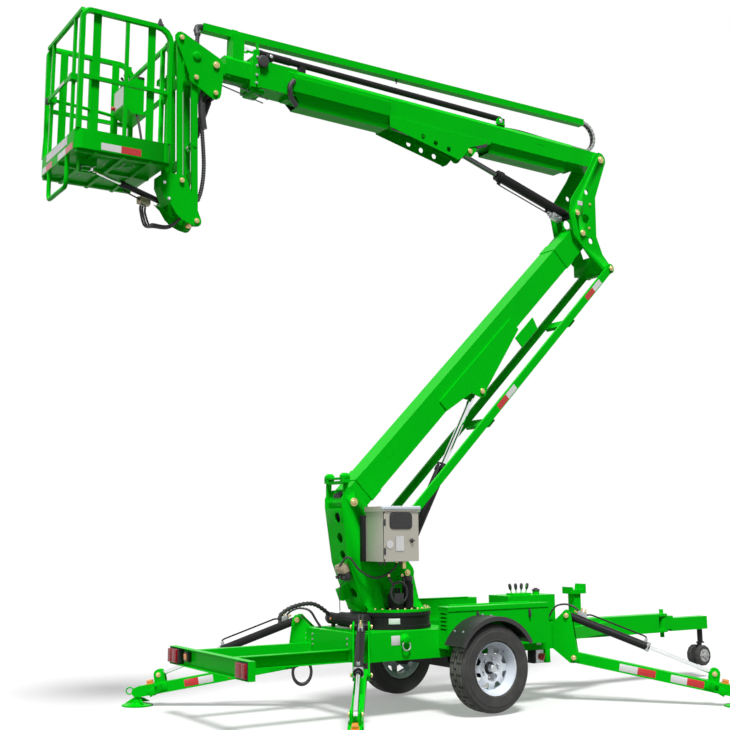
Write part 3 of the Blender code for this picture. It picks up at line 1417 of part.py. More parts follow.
main()
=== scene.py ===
# %% [markdown]
# # Dressing a towable boom lift
# The imported CAD model of the machine is the frame of this lesson: it has the real
# plates, booms, cylinders and pins, each on its own moving body. What a fitter adds
# last is made here: tread, lamps, tapes, hoses, bolts and caps, and the finish of
# every surface. Most new pieces ride on a body of the frame, so they move with it; the
# hoses and conduits that are given two bodies ride on none.
# %% Load the frame
import json
import math

import bmesh
import bpy
from mathutils import Matrix, Vector

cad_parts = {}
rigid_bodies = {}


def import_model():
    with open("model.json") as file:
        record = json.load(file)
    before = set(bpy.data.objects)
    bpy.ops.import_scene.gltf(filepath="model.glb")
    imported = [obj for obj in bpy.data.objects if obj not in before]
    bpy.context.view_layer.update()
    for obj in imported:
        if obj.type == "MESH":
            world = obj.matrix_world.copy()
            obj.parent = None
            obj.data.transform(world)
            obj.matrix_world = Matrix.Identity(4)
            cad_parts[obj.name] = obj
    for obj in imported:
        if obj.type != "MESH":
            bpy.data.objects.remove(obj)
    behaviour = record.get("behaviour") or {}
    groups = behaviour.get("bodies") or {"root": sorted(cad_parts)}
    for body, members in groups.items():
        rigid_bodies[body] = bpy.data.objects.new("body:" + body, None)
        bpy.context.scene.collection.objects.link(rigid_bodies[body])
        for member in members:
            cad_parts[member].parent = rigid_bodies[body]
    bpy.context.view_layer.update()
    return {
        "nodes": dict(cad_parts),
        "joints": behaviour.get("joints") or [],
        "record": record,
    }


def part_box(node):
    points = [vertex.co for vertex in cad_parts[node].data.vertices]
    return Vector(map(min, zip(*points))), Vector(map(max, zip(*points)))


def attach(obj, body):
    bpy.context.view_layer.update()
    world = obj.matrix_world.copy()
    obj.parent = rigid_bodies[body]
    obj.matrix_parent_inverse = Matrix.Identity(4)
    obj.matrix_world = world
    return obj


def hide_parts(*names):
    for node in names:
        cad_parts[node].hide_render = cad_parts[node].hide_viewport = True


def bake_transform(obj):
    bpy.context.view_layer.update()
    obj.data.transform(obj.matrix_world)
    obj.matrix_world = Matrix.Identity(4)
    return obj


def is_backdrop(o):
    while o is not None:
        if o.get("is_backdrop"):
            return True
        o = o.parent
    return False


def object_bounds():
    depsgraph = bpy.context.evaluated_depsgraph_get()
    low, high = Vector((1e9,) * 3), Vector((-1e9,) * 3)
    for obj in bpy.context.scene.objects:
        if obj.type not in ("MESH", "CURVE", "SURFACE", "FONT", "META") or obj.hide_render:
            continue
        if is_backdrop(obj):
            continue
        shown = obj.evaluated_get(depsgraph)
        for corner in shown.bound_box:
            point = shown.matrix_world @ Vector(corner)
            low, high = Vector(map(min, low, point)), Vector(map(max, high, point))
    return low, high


for thing in list(bpy.data.objects):
    bpy.data.objects.remove(thing, do_unlink=True)
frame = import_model()

# %% [markdown]
# A fitter measures from the machine itself. The joints of the record give the wheel
# axle, the boom's pins and the way each boom points, so every place below is worked
# out from those. Along the trailer, x runs from the axle to the drawbar.
# %% Places on the machine
JOINTS = {joint["name"]: joint for joint in frame["joints"]}


def pin(joint):
    """The place of a hinge's axis."""
    return Vector(JOINTS[joint]["pos_m"])


AXLE = (pin("wheel_left_spin") + pin("wheel_right_spin")) / 2


def at(x, y, z):
    """A place measured from the axle's middle, with its height over the floor."""
    return Vector((AXLE.x + x, AXLE.y + y, z))


def boom_line(origin, along, up):
    """A function that gives places by distance along a boom, over it and across it."""
    def place(distance, over, across=0.0):
        return origin + along * distance + up * over + Vector((0, across, 0))
    return place


X, Y, Z = Vector((1, 0, 0)), Vector((0, 1, 0)), Vector((0, 0, 1))
LOWER_PIN, ELBOW_PIN, TOP_PIN = pin("lower_boom_lift"), pin("elbow_level"), pin("upper_boom_lift")
LOWER_DIR = (ELBOW_PIN - LOWER_PIN).normalized()
LOWER_UP = Vector((-LOWER_DIR.z, 0, LOWER_DIR.x))
UPPER_DIR = Vector(JOINTS["boom_extend"]["axis"]).normalized()
UPPER_UP = Vector((UPPER_DIR.z, 0, -UPPER_DIR.x))
on_lower = boom_line(LOWER_PIN, LOWER_DIR, LOWER_UP)
on_upper = boom_line(TOP_PIN, UPPER_DIR, UPPER_UP)
print("lower boom's pins lie", round((ELBOW_PIN - LOWER_PIN).length, 3), "m apart")

# %% [markdown]
# The machine stands on a pale floor under soft light. A wide sky gives most of the
# light, a broad key lamp models the plates, and a weaker lamp opens the shaded side.
# The floor fades into the backdrop with distance, so that no horizon line shows.
# %% Camera
CAMERA_PLACE = at(-5.731, -7.902, 1.411)
YAW, PITCH, ROLL = math.radians(32.38), math.radians(10.42), math.radians(0.33)
camera_data = bpy.data.cameras.new("camera")
camera = bpy.data.objects.new("camera", camera_data)
bpy.context.scene.collection.objects.link(camera)
camera.location = CAMERA_PLACE
looking = Vector((
    math.sin(YAW) * math.cos(PITCH),
    math.cos(YAW) * math.cos(PITCH),
    math.sin(PITCH),
))
camera.rotation_mode = "QUATERNION"
level = looking.to_track_quat("-Z", "Y")
camera.rotation_quaternion = level @ Matrix.Rotation(-ROLL, 3, "Z").to_quaternion()
camera_data.lens = 55.43
camera_data.shift_y = -0.0548
bpy.context.scene.camera = camera
print("camera stands", round((CAMERA_PLACE - at(0, 0, 0)).length, 2), "m from the axle")


# %% Hand moves for shader nodes
def set_inputs(node, **values):
    """Set a node's inputs, named with _ for a space."""
    for label, value in values.items():
        node.inputs[label.replace("_", " ")].default_value = value
    return node


def new_node(tree, kind, operation="", **values):
    made = tree.nodes.new("ShaderNode" + kind)
    if operation:
        made.operation = operation
    return set_inputs(made, **values)


def wire(tree, *links):
    """Links, each given as a node, its output, another node and its input."""
    for source, output, target, entry in links:
        tree.links.new(source.outputs[output], target.inputs[entry])


def colour_mix(tree, first, second):
    made = tree.nodes.new("ShaderNodeMix")
    made.data_type = "RGBA"
    return set_inputs(made, A=(*first, 1), B=(*second, 1))


def seen_rays(tree, *kinds):
    """A socket that is 1 for the kinds of ray that show a surface and 0 for all others."""
    path = new_node(tree, "LightPath")
    seen = path.outputs[kinds[0]]
    for kind in kinds[1:]:
        either = new_node(tree, "Math", "MAXIMUM")
        tree.links.new(seen, either.inputs[0])
        wire(tree, (path, kind, either, 1))
        seen = either.outputs[0]
    return seen


# %% Floor
FLOOR_SIZE = 160.0
FLOOR_FADE = (6.0, 16.0)  # from the machine's middle, metres
FLOOR_THROWN, FLOOR_SHOWN = (0.18,) * 3, (0.88,) * 3  # the grey in bounced light, and as seen
bpy.ops.mesh.primitive_plane_add(size=FLOOR_SIZE, location=(0, 0, -0.001))
floor = bpy.context.object
floor.name = "studio_floor"
floor_paint = bpy.data.materials.new("floor_paint")
floor_paint.use_nodes = True
tree = floor_paint.node_tree
shader = set_inputs(tree.nodes["Principled BSDF"], Roughness=0.9, Specular_IOR_Level=0.1)
shown = seen_rays(tree, "Is Camera Ray", "Is Glossy Ray")
bounce = colour_mix(tree, FLOOR_THROWN, FLOOR_SHOWN)
glow = new_node(tree, "MapRange", To_Min=0.08, To_Max=1.0)
tree.links.new(shown, bounce.inputs["Factor"])
tree.links.new(shown, glow.inputs["Value"])
coordinates = new_node(tree, "TexCoord")
distance = new_node(tree, "VectorMath", "LENGTH")
fade = new_node(tree, "MapRange", From_Min=FLOOR_FADE[0], From_Max=FLOOR_FADE[1], To_Min=0.30)
fade.interpolation_type = "SMOOTHSTEP"
backdrop = new_node(tree, "Emission")
mix = new_node(tree, "MixShader")
wire(
    tree,
    (bounce, "Result", shader, "Base Color"), (glow, "Result", backdrop, "Strength"),
    (coordinates, "Object", distance, 0), (distance, "Value", fade, "Value"),
    (fade, "Result", mix, "Fac"), (shader, "BSDF", mix, 1), (backdrop, "Emission", mix, 2),
    (mix, "Shader", tree.nodes["Material Output"], "Surface"),
)
floor.data.materials.append(floor_paint)
floor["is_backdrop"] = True
print("floor fades out between", *FLOOR_FADE, "m")

# %% Sky and lamps
SKY_LIGHT = 0.17
world = bpy.data.worlds.new("sky")
bpy.context.scene.world = world
world.use_nodes = True
tree = world.node_tree
tree.nodes.clear()
seen = seen_rays(tree, "Is Camera Ray", "Is Glossy Ray", "Is Transmission Ray")
strength = new_node(tree, "MapRange", To_Min=SKY_LIGHT, To_Max=1.0)
sky = new_node(tree, "Background", Color=(1, 1, 1, 1))
tree.links.new(seen, strength.inputs["Value"])
wire(tree, (strength, "Result", sky, "Strength"),
     (sky, "Background", new_node(tree, "OutputWorld"), "Surface"))

LAMPS = (  # name, where the light comes from, strength, width of its disc in degrees
    ("key_lamp", (-0.25, -0.62, 1.20), 3.6, 14),
    ("fill_lamp", (-0.9, -0.15, 0.35), 0.75, 40),
)
for name, towards, power, width in LAMPS:
    lamp_data = bpy.data.lights.new(name, "SUN")
    lamp_data.energy = power
    lamp_data.angle = math.radians(width)
    lamp = bpy.data.objects.new(name, lamp_data)
    bpy.context.scene.collection.objects.link(lamp)
    lamp.rotation_mode = "QUATERNION"
    lamp.rotation_quaternion = Vector(towards).to_track_quat("Z", "Y")
bpy.context.scene.view_settings.view_transform = "Standard"
print("lamps:", [lamp[0] for lamp in LAMPS])

# %% [markdown]
# New paint is never quite even: the film swells and dips like the skin of an orange,
# and grease and dust dull it in soft patches. Rolled metal has fine parallel scratches.
# These effects come back in most of the finishes, so each is a node group with its own
# inputs, built once and placed in every material with the values that suit it.


# %% Node groups for surface effects
def noise_group(name, inputs, result, detail, stretch=(1, 1, 1)):
    """A group that puts out noise times its last input. The noise sits still on the
    object, and From and To turn it into a mask between those two levels."""
    group = bpy.data.node_groups.new(name, "ShaderNodeTree")
    number = "NodeSocketFloat"
    for label, value in inputs.items():
        socket = group.interface.new_socket(name=label, in_out="INPUT", socket_type=number)
        socket.default_value = value
    group.interface.new_socket(name=result, in_out="OUTPUT", socket_type=number)
    source, sink = group.nodes.new("NodeGroupInput"), group.nodes.new("NodeGroupOutput")
    place = new_node(group, "TexCoord")
    turn = new_node(group, "Mapping", Scale=stretch)
    noise = new_node(group, "TexNoise", Detail=detail)
    scaled = new_node(group, "Math", "MULTIPLY")
    wire(group, (place, "Object", turn, "Vector"), (turn, "Vector", noise, "Vector"),
         (source, "Scale", noise, "Scale"))
    if "From" in inputs:
        spread = new_node(group, "MapRange")
        wire(group, (noise, "Fac", spread, "Value"), (source, "From", spread, "From Min"),
             (source, "To", spread, "From Max"), (spread, "Result", scaled, 0))
    else:
        wire(group, (noise, "Fac", scaled, 0))
    wire(group, (source, list(inputs)[-1], scaled, 1), (scaled, 0, sink, result))
    return group


PATCHES = noise_group(
    "soft_patches", {"Scale": 4.0, "From": 0.4, "To": 0.7, "Amount": 1.0}, "Mask", 6
)
PEEL = noise_group("orange_peel", {"Scale": 300.0, "Depth": 1.0}, "Height", 2)
GRAIN = noise_group("brushed_grain", {"Scale": 60.0, "Amount": 1.0}, "Mask", 3, (1, 1, 14))
print("node groups:", PATCHES.name, PEEL.name, GRAIN.name)

# %% [markdown]
# One recipe makes all the solid finishes. A colour and a duller colour are mixed by
# the soft patches, the roughness follows the same patches, and the peel or the grain
# goes to a bump. Each finish is then one row of a table, as on a paint maker's card.


# %% Finishes
def place_group(tree, group, **values):
    made = tree.nodes.new("ShaderNodeGroup")
    made.node_tree = group
    return set_inputs(made, **values)


def finish_of(name, colour, dull, roughness, metallic, patch_scale, patch_amount, bump,
              bump_scale, grain=0.0, coat=0.0, tint=(1, 1, 1), gloss=0.5):
    """A material whose colour and roughness drift softly over its surface."""
    material = bpy.data.materials.new(name)
    material.use_nodes = True
    tree = material.node_tree
    shader = set_inputs(
        tree.nodes["Principled BSDF"], Metallic=metallic, Coat_Weight=coat, Coat_Roughness=0.12,
        Specular_Tint=(*tint, 1), Specular_IOR_Level=gloss,
    )
    mask = place_group(tree, PATCHES, Scale=patch_scale, Amount=patch_amount).outputs["Mask"]
    if grain:
        streaks = place_group(tree, GRAIN, Scale=bump_scale, Amount=grain)
        add = new_node(tree, "Math", "ADD")
        tree.links.new(mask, add.inputs[0])
        wire(tree, (streaks, "Mask", add, 1))
        mask = add.outputs[0]
    mix = colour_mix(tree, colour, dull)
    rough = new_node(tree, "MapRange", To_Min=roughness[0], To_Max=roughness[1])
    tree.links.new(mask, mix.inputs["Factor"])
    tree.links.new(mask, rough.inputs["Value"])
    peel = place_group(tree, PEEL, Scale=bump_scale, Depth=1.0)
    relief = new_node(tree, "Bump", Strength=bump, Distance=0.001)
    wire(tree, (mix, "Result", shader, "Base Color"), (rough, "Result", shader, "Roughness"),
         (peel, "Height", relief, "Height"), (relief, "Normal", shader, "Normal"))
    return material


# name: colour, duller colour, roughness range, metallic, patch scale, patch amount,
# bump, bump scale, grain, coat, tint of the gloss, strength of the gloss
FINISHES = {
    "green_paint": ((0.0015, 0.6, 0.008), (0.004, 0.5, 0.012), (0.3, 0.46), 0, 2.5, 0.35, 0.1, 260,
        0, 0, (0.1, 1, 0.15), 0.04),
    "black_paint": ((0.012, 0.012, 0.013), (0.028, 0.027, 0.026), (0.5, 0.7), 0, 5, 0.5, 0.1, 260,
        0, 0, (1, 1, 1), 0.15),
    "white_paint": ((0.7, 0.76, 0.82), (0.56, 0.6, 0.64), (0.32, 0.5), 0, 7, 0.4, 0.1, 300, 0,
        0.1),
    "tyre_rubber": ((0.026, 0.026, 0.026), (0.095, 0.092, 0.084), (0.72, 0.92), 0, 9, 0.5, 0.3,
        500),
    "tread_rubber": ((0.15, 0.15, 0.138), (0.09, 0.09, 0.082), (0.8, 0.95), 0, 14, 0.7, 0.3, 500),
    "black_plastic": ((0.015, 0.015, 0.016), (0.034, 0.034, 0.034), (0.48, 0.66), 0, 6, 0.4, 0.35,
        900),
    "chrome": ((0.78, 0.79, 0.81), (0.64, 0.64, 0.64), (0.08, 0.2), 1, 8, 0.3, 0.05, 400, 0.1),
    # This row is chrome made dark as painted shade: the upper lift cylinder's rod lies in shade
    # under the upper boom, and the dark colour paints that shade and the dark boom it reflects.
    "dark_chrome": ((0.09, 0.092, 0.096), (0.06, 0.06, 0.062), (0.1, 0.24), 1, 8, 0.3, 0.05, 400,
        0.1),
    "stainless": ((0.56, 0.57, 0.59), (0.44, 0.45, 0.46), (0.26, 0.44), 1, 5, 0.3, 0.15, 70, 0.5),
    "galvanised": ((0.42, 0.43, 0.44), (0.29, 0.3, 0.31), (0.38, 0.6), 0.9, 14, 0.8, 0.2, 120,
        0.2),
    "yellow_zinc": ((0.64, 0.52, 0.23), (0.48, 0.4, 0.24), (0.3, 0.48), 0.9, 40, 0.6, 0.1, 500),
    "bronze": ((0.52, 0.33, 0.13), (0.38, 0.23, 0.09), (0.3, 0.5), 0.9, 30, 0.6, 0.1, 500),
    "hose_rubber": ((0.014, 0.014, 0.015), (0.034, 0.033, 0.031), (0.45, 0.7), 0, 20, 0.5, 0.3,
        900),
    "tape_red": ((0.62, 0.01, 0.012), (0.5, 0.012, 0.014), (0.25, 0.4), 0, 20, 0.4, 0.1, 800, 0,
        0.3),
    "tape_white": ((0.8, 0.8, 0.79), (0.68, 0.68, 0.67), (0.25, 0.4), 0, 20, 0.4, 0.1, 800, 0,
        0.3),
    "lamp_amber": ((0.85, 0.26, 0.01), (0.7, 0.19, 0.008), (0.1, 0.2), 0, 30, 0.4, 0.3, 220, 0,
        0.8),
    "lamp_red": ((0.3, 0.004, 0.01), (0.2, 0.003, 0.008), (0.18, 0.3), 0, 30, 0.4, 0.2, 220, 0,
        0.15, (1, 0.4, 0.4), 0.3),
    "label_white": ((0.78, 0.78, 0.78), (0.66, 0.66, 0.66), (0.35, 0.5), 0, 20, 0.3, 0.05, 500),
    "chain_grey": ((0.42, 0.43, 0.42), (0.33, 0.34, 0.33), (0.35, 0.5), 0.1, 20, 0.5, 0.1, 500),
    "box_steel": ((0.52, 0.5, 0.43), (0.43, 0.41, 0.35), (0.34, 0.5), 0.4, 4, 0.5, 0.15, 70, 0.4),
    "valve_tan": ((0.47, 0.38, 0.26), (0.37, 0.3, 0.21), (0.35, 0.55), 0.3, 30, 0.5, 0.15, 400),
    "switch_red": ((0.56, 0.012, 0.012), (0.43, 0.012, 0.012), (0.3, 0.45), 0, 20, 0.4, 0.1, 500,
        0, 0.2),
}
MATERIALS = {name: finish_of(name, *row) for name, row in FINISHES.items()}
SLOTS = {part["node"]: part["material_slot"] for part in frame["record"]["subparts"]}
NODE_FINISH = {
    "jockey_wheels": "tyre_rubber",
    "cable_trough": "green_paint",
    # The upper cylinder's rod is chrome; its darkened chrome is painted shade and painted
    # reflection of the boom's underside.
    "upper_cylinder_rod": "dark_chrome",
    "axle_beam": "black_paint",
    "control_box": "box_steel",
    "control_box_door": "box_steel",
    "platform_control_box": "green_paint",
}
for name, node in frame["nodes"].items():
    node.data.materials.clear()
    node.data.materials.append(MATERIALS[NODE_FINISH.get(name, SLOTS[name])])
print("finishes:", len(MATERIALS))

# %% [markdown]
# Every fitting starts as a plain block or cylinder and is then worked: its ends are
# drawn out and narrowed in steps, its edges are rounded, and it is turned to its
# place. Sculpting each bolt would give the same picture with far more work, so these
# few hand moves are written once and used for every fitting on the machine.


# %% Hand moves
def at_rest():
    """Object mode with nothing selected."""
    if bpy.context.mode != "OBJECT":
        bpy.ops.object.mode_set(mode="OBJECT")
    bpy.ops.object.select_all(action="DESELECT")


def take(thing):
    """Select one piece alone and make it active."""
    at_rest()
    thing.select_set(True)
    bpy.context.view_layer.objects.active = thing
    return thing


def work_on(thing):
    take(thing)
    bpy.ops.object.mode_set(mode="EDIT")


def pick(kind, test):
    """In edit mode, select only the vertices, edges or faces that pass a test."""
    mesh = bmesh.from_edit_mesh(bpy.context.object.data)
    bpy.ops.mesh.select_mode(type=kind)
    bpy.ops.mesh.select_all(action="DESELECT")
    for element in {"VERT": mesh.verts, "EDGE": mesh.edges, "FACE": mesh.faces}[kind]:
        if test(element):
            element.select_set(True)
    mesh.select_flush_mode()
    bmesh.update_edit_mesh(bpy.context.object.data)


def apply_place(thing):
    take(thing)
    bpy.ops.object.transform_apply(location=True, rotation=True, scale=True)
    return thing


def use_modifier(thing, kind, **settings):
    """Add a modifier with its settings and apply it."""
    take(thing)
    modifier = thing.modifiers.new(kind.lower(), kind)
    for name, value in settings.items():
        setattr(modifier, name, value)
    bpy.ops.object.modifier_apply(modifier=modifier.name)
    return thing


def rounded(thing, width, segments=2, degrees=35):
    return use_modifier(thing, "BEVEL", width=width, segments=segments, limit_method="ANGLE",
                        angle_limit=math.radians(degrees))


def joined(things):
    """One piece made of several."""
    take(things[0])
    for thing in things:
        thing.select_set(True)
    if len(things) > 1:
        bpy.ops.object.join()
    return bpy.context.object


def outward(thing):
    """Merge doubles and turn every face outwards."""
    work_on(thing)
    bpy.ops.mesh.select_all(action="SELECT")
    bpy.ops.mesh.remove_doubles(threshold=0.00002)
    bpy.ops.mesh.normals_make_consistent(inside=False)
    at_rest()
    return thing


def block(low, high, edge=0.003, segments=2):
    """A block between two corners, with rounded edges."""
    low, high = Vector(low), Vector(high)
    at_rest()
    bpy.ops.mesh.primitive_cube_add(size=1, location=(low + high) / 2)
    made = bpy.context.object
    made.scale = [abs(side) for side in high - low]
    return rounded(apply_place(made), edge, segments)


def mm(*sizes):
    """A profile in metres from (radius, height) pairs in millimetres."""
    return [(radius / 1000, height / 1000) for radius, height in zip(sizes[::2], sizes[1::2])]


def turned(profile, sides=24, edge=0.001):
    """A turned piece that stands on the origin. Its profile is (radius, height) from
    the bottom up, and the first two have the same radius."""
    (radius, _), (_, height) = profile[:2]
    at_rest()
    bpy.ops.mesh.primitive_cylinder_add(
        vertices=sides, radius=radius, depth=height, location=(0, 0, height / 2)
    )
    made = apply_place(bpy.context.object)
    work_on(made)
    pick("FACE", lambda face: face.normal.z > 0.9)
    for next_radius, next_height in profile[2:]:
        bpy.ops.mesh.extrude_region_move(
            TRANSFORM_OT_translate={"value": (0, 0, next_height - height)}
        )
        ratio = next_radius / radius
        bpy.ops.transform.resize(value=(ratio, ratio, 1), center_override=(0, 0, next_height))
        radius, height = next_radius, next_height
    at_rest()
    return rounded(made, edge, 1) if edge else made


def frame_to(place, direction=(0, 0, 1), across=None):
    """A matrix whose z axis points along direction and whose x axis lies near across."""
    along = Vector(direction).normalized()
    if across is None:
        across = Vector((1, 0, 0)) if abs(along.x) < 0.9 else Vector((0, 1, 0))
    across = Vector(across)
    across = (across - along * across.dot(along)).normalized()
    turn = Matrix((across, along.cross(across), along)).transposed()
    return Matrix.Translation(Vector(place)) @ turn.to_4x4()


def set_at(thing, place, direction=(0, 0, 1), across=None):
    thing.matrix_world = frame_to(place, direction, across)
    return apply_place(thing)


def linked(thing):
    bpy.context.scene.collection.objects.link(thing)
    return thing


def twin_of(thing):
    """A copy with its own mesh."""
    twin = thing.copy()
    twin.data = thing.data.copy()
    return linked(twin)


def repeated(pattern, frames):
    """Copy a pattern to each frame, each copy with its own mesh, and join the copies."""
    copies = []
    for frame_matrix in frames:
        copies.append(twin_of(pattern))
        copies[-1].matrix_world = frame_matrix
        apply_place(copies[-1])
    bpy.data.objects.remove(pattern, do_unlink=True)
    return joined(copies)


def ring_of(radius, thickness, sides, place, direction, across=None, width=1.0):
    """A torus round a direction, narrower across when width is below 1."""
    at_rest()
    bpy.ops.mesh.primitive_torus_add(
        major_radius=radius, minor_radius=thickness, major_segments=sides[0],
        minor_segments=sides[1],
    )
    made = bpy.context.object
    made.matrix_world = frame_to(place, direction, across)
    made.scale = (width, 1.0, 1.0)
    return apply_place(made)


def smooth_line(points, step):
    """Points about a step apart on a smooth curve through the given points."""
    points = [Vector(point) for point in points]
    ends = [2 * points[0] - points[1]] + points + [2 * points[-1] - points[-2]]
    fine = []
    for a, b, c, d in zip(ends, ends[1:], ends[2:], ends[3:]):
        for i in range(24):
            t = i / 24
            bend = (2 * a - 5 * b + 4 * c - d) * t * t + (3 * b - a - 3 * c + d) * t**3
            fine.append((2 * b + (c - a) * t + bend) / 2)
    fine.append(points[-1])
    total = sum((b - a).length for a, b in zip(fine, fine[1:]))
    count = max(2, round(total / step))
    line, gone, next_mark = [fine[0]], 0.0, total / count
    for a, b in zip(fine, fine[1:]):
        piece = (b - a).length
        while gone + piece >= next_mark - 1e-9 and len(line) < count:
            line.append(a.lerp(b, (next_mark - gone) / piece))
            next_mark += total / count
        gone += piece
    return line + [fine[-1]]


def hose(points, radius, step=0.02, rib=0.0):
    """A tube along a smooth curve, with closed ends. With rib, every second ring is
    thinner by that part, which makes a corrugated conduit."""
    line = smooth_line(points, step)
    curve = bpy.data.curves.new("hose", "CURVE")
    curve.dimensions = "3D"
    curve.bevel_depth = radius
    curve.bevel_resolution = 3
    curve.use_fill_caps = True
    spline = curve.splines.new("POLY")
    spline.points.add(len(line) - 1)
    for i, (point, place) in enumerate(zip(spline.points, line)):
        point.co = (*place, 1)
        point.radius = 1 - rib * (i // 2 % 2)
    take(linked(bpy.data.objects.new("hose", curve)))
    bpy.ops.object.convert(target="MESH")
    return bpy.context.object


def sheet_drawn(corners, way):
    """A flat sheet with these corners, drawn out into a bar or a plate."""
    at_rest()
    bpy.ops.mesh.primitive_circle_add(vertices=len(corners), radius=0.1, fill_type="NGON")
    made = apply_place(bpy.context.object)
    work_on(made)
    for index, corner in enumerate(corners):
        pick("VERT", lambda vertex: vertex.index == index)
        bpy.ops.transform.translate(value=corner - made.data.vertices[index].co)
    bpy.ops.mesh.select_all(action="SELECT")
    bpy.ops.mesh.extrude_region_move(TRANSFORM_OT_translate={"value": way})
    at_rest()
    return outward(made)


def plate_of(outline, near, far, edge=0.0015):
    """A flat plate whose outline is (x, z) places, between two levels of y."""
    made = sheet_drawn([Vector((x, near, z)) for x, z in outline], (0, far - near, 0))
    return rounded(made, edge, 1, 30) if edge else made


def moved(thing, test, way):
    """Move the corners that pass a test."""
    work_on(thing)
    pick("VERT", test)
    bpy.ops.transform.translate(value=way)
    at_rest()
    return thing


PIECES = []


def fit(thing, name, body, finish, smooth=35):
    """Finish a piece: its name, its smooth faces, its paint and the body that it rides on.
    A body given as (a, b, start, end) is not used: such a piece rides on no body and stays
    where it is. Several things are joined first."""
    if isinstance(thing, list):
        thing = joined(thing)
    apply_place(thing)
    thing.name = thing.data.name = name
    thing.data.materials.clear()
    thing.data.materials.append(MATERIALS[finish])
    bpy.ops.object.shade_smooth_by_angle(angle=math.radians(smooth))
    if isinstance(body, tuple):
        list(body)
        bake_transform(thing)
    else:
        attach(thing, body)
    PIECES.append(thing)
    at_rest()
    return thing


def fit_turned(name, body, finish, profile, place, direction=Z, sides=24, edge=0.001):
    """A turned piece that stands on a place."""
    return fit(set_at(turned(profile, sides, edge), place, direction), name, body, finish)


def fit_blocks(body, rows):
    """Blocks in the machine's own measures: name, finish, two corners, edge."""
    for name, finish, low, high, edge in rows:
        fit(block(at(*low), at(*high), edge), name, body, finish)


def fit_hose(name, body, points, radius, step=0.02, rib=0.0, finish="hose_rubber", smooth=60):
    """A hose or pipe through the places where it is clipped."""
    return fit(hose(points, radius, step, rib), name, body, finish, smooth)


NEAR, FAR = -1, 1  # the two sides of the machine, as signs of y
SIDES = (("left", FAR), ("right", NEAR))

# %% [markdown]
# Laser-cut plates carry round openings that save weight and let hoses through. They
# could be painted on as dark discs, but from the side a real opening shows the plate's
# thickness and the daylight behind it. So a merged copy of the plate is cut with
# plain cylinders, and the copy stands for the original.


# %% Openings in plates
def merged_copy(node):
    made = twin_of(frame["nodes"][node])
    made.parent = None
    made.matrix_world = Matrix.Identity(4)
    for key in list(made.keys()):
        del made[key]
    work_on(made)
    bpy.ops.mesh.select_all(action="SELECT")
    bpy.ops.mesh.remove_doubles(threshold=0.00002)
    bpy.ops.mesh.tris_convert_to_quads()
    at_rest()
    return made


def cut_openings(thing, cutters):
    """Cut the joined cutters out of a piece."""
    cutter = joined(cutters)
    take(thing)
    use_modifier(thing, "BOOLEAN", object=cutter, operation="DIFFERENCE", solver="MANIFOLD")
    bpy.data.objects.remove(cutter, do_unlink=True)
    return thing


def round_cutter(place, direction, radius, length, sides=28):
    made = turned([(radius, 0), (radius, length)], sides, 0)
    along = Vector(direction).normalized()
    return set_at(made, Vector(place) - along * length / 2, along)


# %% Openings of the turret and the elbow
REAR_LOW, REAR_HIGH = at(-0.967, 0, 1.17), at(-1.032, 0, 1.615)
rear_up = (REAR_HIGH - REAR_LOW).normalized()
rear_out = Vector((-rear_up.z, 0, rear_up.x))
foot_up = (at(-0.967, 0, 1.17) - at(-0.842, 0, 0.86)).normalized()
foot_out = Vector((-foot_up.z, 0, foot_up.x))
TURRET_HOLES = (  # up, across, radius; the last is cut in the rear top plate
    (0.056, -0.05, 0.04),
    (0.194, -0.04, 0.042),
    (0.356, -0.04, 0.042),
)
FOOT_HOLE = (0.075, 0.042)


def rear_cutters(holes):
    return [
        round_cutter(REAR_LOW + rear_up * rise + Y * across, rear_out, radius, 0.1)
        for rise, across, radius in holes
    ]


def stands_for(thing, name, body, node, finish="green_paint", smooth=30):
    """Fit a worked piece in the place of a node of the frame."""
    fit(thing, name, body, finish, smooth)
    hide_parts(node)


foot_place = at(-0.842, -0.045, 0.86) + foot_up * FOOT_HOLE[0]
cutters = rear_cutters(TURRET_HOLES[:2]) + [round_cutter(foot_place, foot_out, FOOT_HOLE[1], 0.08)]
stands_for(cut_openings(merged_copy("turret"), cutters), "turret_plates", "turret", "turret")

ELBOW_HOLES = (  # from the boom's pin: along, up, radius
    (0.083, 0.424, 0.026),
    (0.058, 0.152, 0.046),
    (0.115, -0.063, 0.03),
)
cutters = [
    round_cutter(ELBOW_PIN + Vector((dx, 0, dz)), Y, radius, 0.4)
    for dx, dz, radius in ELBOW_HOLES
]
stands_for(cut_openings(merged_copy("elbow"), cutters), "elbow_plates", "elbow", "elbow")
print("openings of turret and elbow:", len(TURRET_HOLES) + 1 + len(ELBOW_HOLES))

# %% [markdown]
# A trailer tyre is a smooth carcass with five ribs round its tread, parted by four
# grooves and crossed by fine cuts. It could be a torus with a bumpy finish, but the
# tread shows against the light at the tyre's edge, so it is real: a tread section is
# spun round the axle, and then every few faces of each rib are sunk into cuts.
# %% Tyres
TYRE_LOW, TYRE_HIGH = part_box("tyre_right")
TYRE_RADIUS = (TYRE_HIGH.z - TYRE_LOW.z) / 2
TYRE_HALF = (TYRE_HIGH.y - TYRE_LOW.y) / 2
RIM_RADIUS = 0.205
TREAD_STEPS = 96
GROOVE = 0.01
CUT_DEPTH = 0.006


